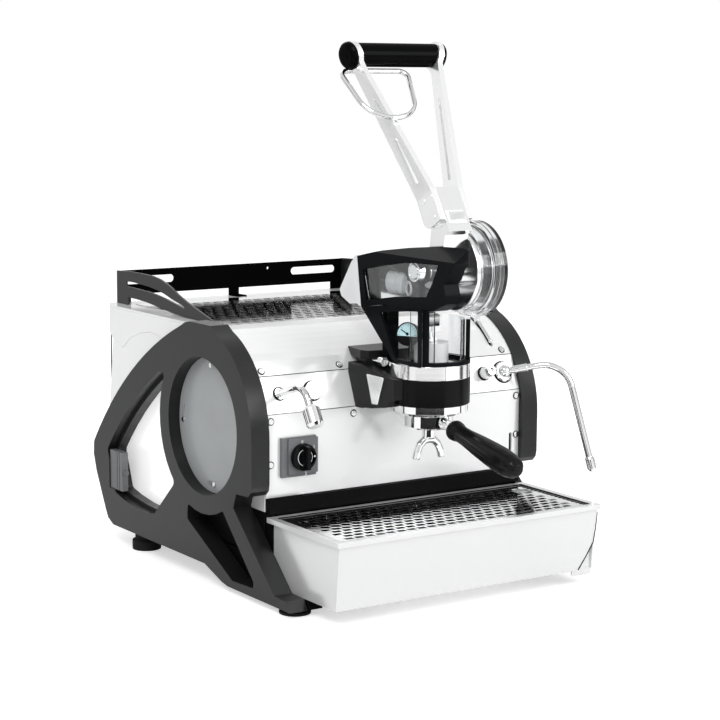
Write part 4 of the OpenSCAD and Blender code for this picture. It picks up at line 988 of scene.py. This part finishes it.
# %% [markdown]
# ## Room
# The room is plain white to the lens, and lights the object at a lower level, so pale
# surfaces don't clip. In reflections a soft grey band runs round it above the horizon
# and the ceiling is dimmer, which gives bright metal its darker lines.

# %% Room
LIT_LEVEL, MIRRORED_LEVEL, BAND_DEPTH, CEILING_DEPTH = 0.62, 0.94, 0.45, 0.35
# each border's height in the room, nought at the horizon and one overhead, and its steepness
BAND_FOOT, BAND_HEAD, CEILING_FOOT = (0.22, 14.0), (0.46, 10.0), (0.62, 3.0)
room = bpy.data.worlds.new("room")
bpy.context.scene.world = room
room.use_nodes = True
sky = room.node_tree
background = sky.nodes["Background"]
path = sky.nodes.new("ShaderNodeLightPath").outputs
lens_or_clear = Wire(sky, path["Is Camera Ray"]).largest(Wire(sky, path["Is Transmission Ray"]))
sheen = Wire(sky, path["Is Glossy Ray"])
rise = Wire(sky, sky.nodes.new("ShaderNodeTexCoord").outputs["Generated"]).axes()[2]
band = ((rise - BAND_FOOT[0]) * BAND_FOOT[1]).clamp() * ((BAND_HEAD[0] - rise) * BAND_HEAD[1]).clamp()
ceiling = ((rise - CEILING_FOOT[0]) * CEILING_FOOT[1]).clamp()
mirrored = MIRRORED_LEVEL - BAND_DEPTH * band - CEILING_DEPTH * ceiling
level_of_light = LIT_LEVEL + lens_or_clear * (1 - LIT_LEVEL)
strength = level_of_light + sheen * (mirrored - level_of_light)
sky.links.new(strength.socket, background.inputs["Strength"])
background.inputs["Color"].default_value = (1, 1, 1, 1)
bpy.context.scene.view_settings.view_transform = "Standard"
print("room strength to the object", LIT_LEVEL)

# %% [markdown]
# ## Black flags
# A white room alone leaves chrome without any shape. Narrow black flags stand at the
# sides: only the mirror-like parts show them, as thin dark lines. They are hidden from
# the lens and throw no shadow.

# %% Flags at the sides
flag_finish = Finish("flag_cloth", Specular_IOR_Level=0.0, Roughness=1.0)
flag_weave = flag_finish.noise(40.0, 2.0)
flag_dark, flag_light = (0.004, 0.004, 0.004, 1), (0.008, 0.008, 0.008, 1)
flag_finish.set("Base Color", flag_finish.mix(flag_weave, flag_dark, flag_light))
FLAG_REACH, FLAG_HEIGHT = 1.8, 1.8
# bearing from the lens in degrees, and width in metres
FLAGS = ((92, 0.34), (128, 0.5), (-58, 0.22), (-86, 0.32))
for number, (turn, width) in enumerate(FLAGS):
    bearing = LENS_BEARING + math.radians(turn)
    place = (FLAG_REACH * math.cos(bearing), FLAG_REACH * math.sin(bearing), FLAG_HEIGHT / 2)
    upright = (math.pi / 2, 0, bearing + math.pi / 2)
    bpy.ops.object.select_all(action="DESELECT")
    bpy.ops.mesh.primitive_plane_add(size=1.0, location=place, rotation=upright)
    flag = bpy.context.active_object
    flag.name = "flag_%d" % number
    flag.scale = (width, FLAG_HEIGHT, 1.0)
    bpy.ops.object.transform_apply(location=True, rotation=True, scale=True)
    flag.data.materials.append(flag_finish.material)
    flag.visible_camera = flag.visible_diffuse = flag.visible_shadow = flag.visible_transmission = False
print(len(FLAGS), "flags stand", FLAG_REACH, "m out")
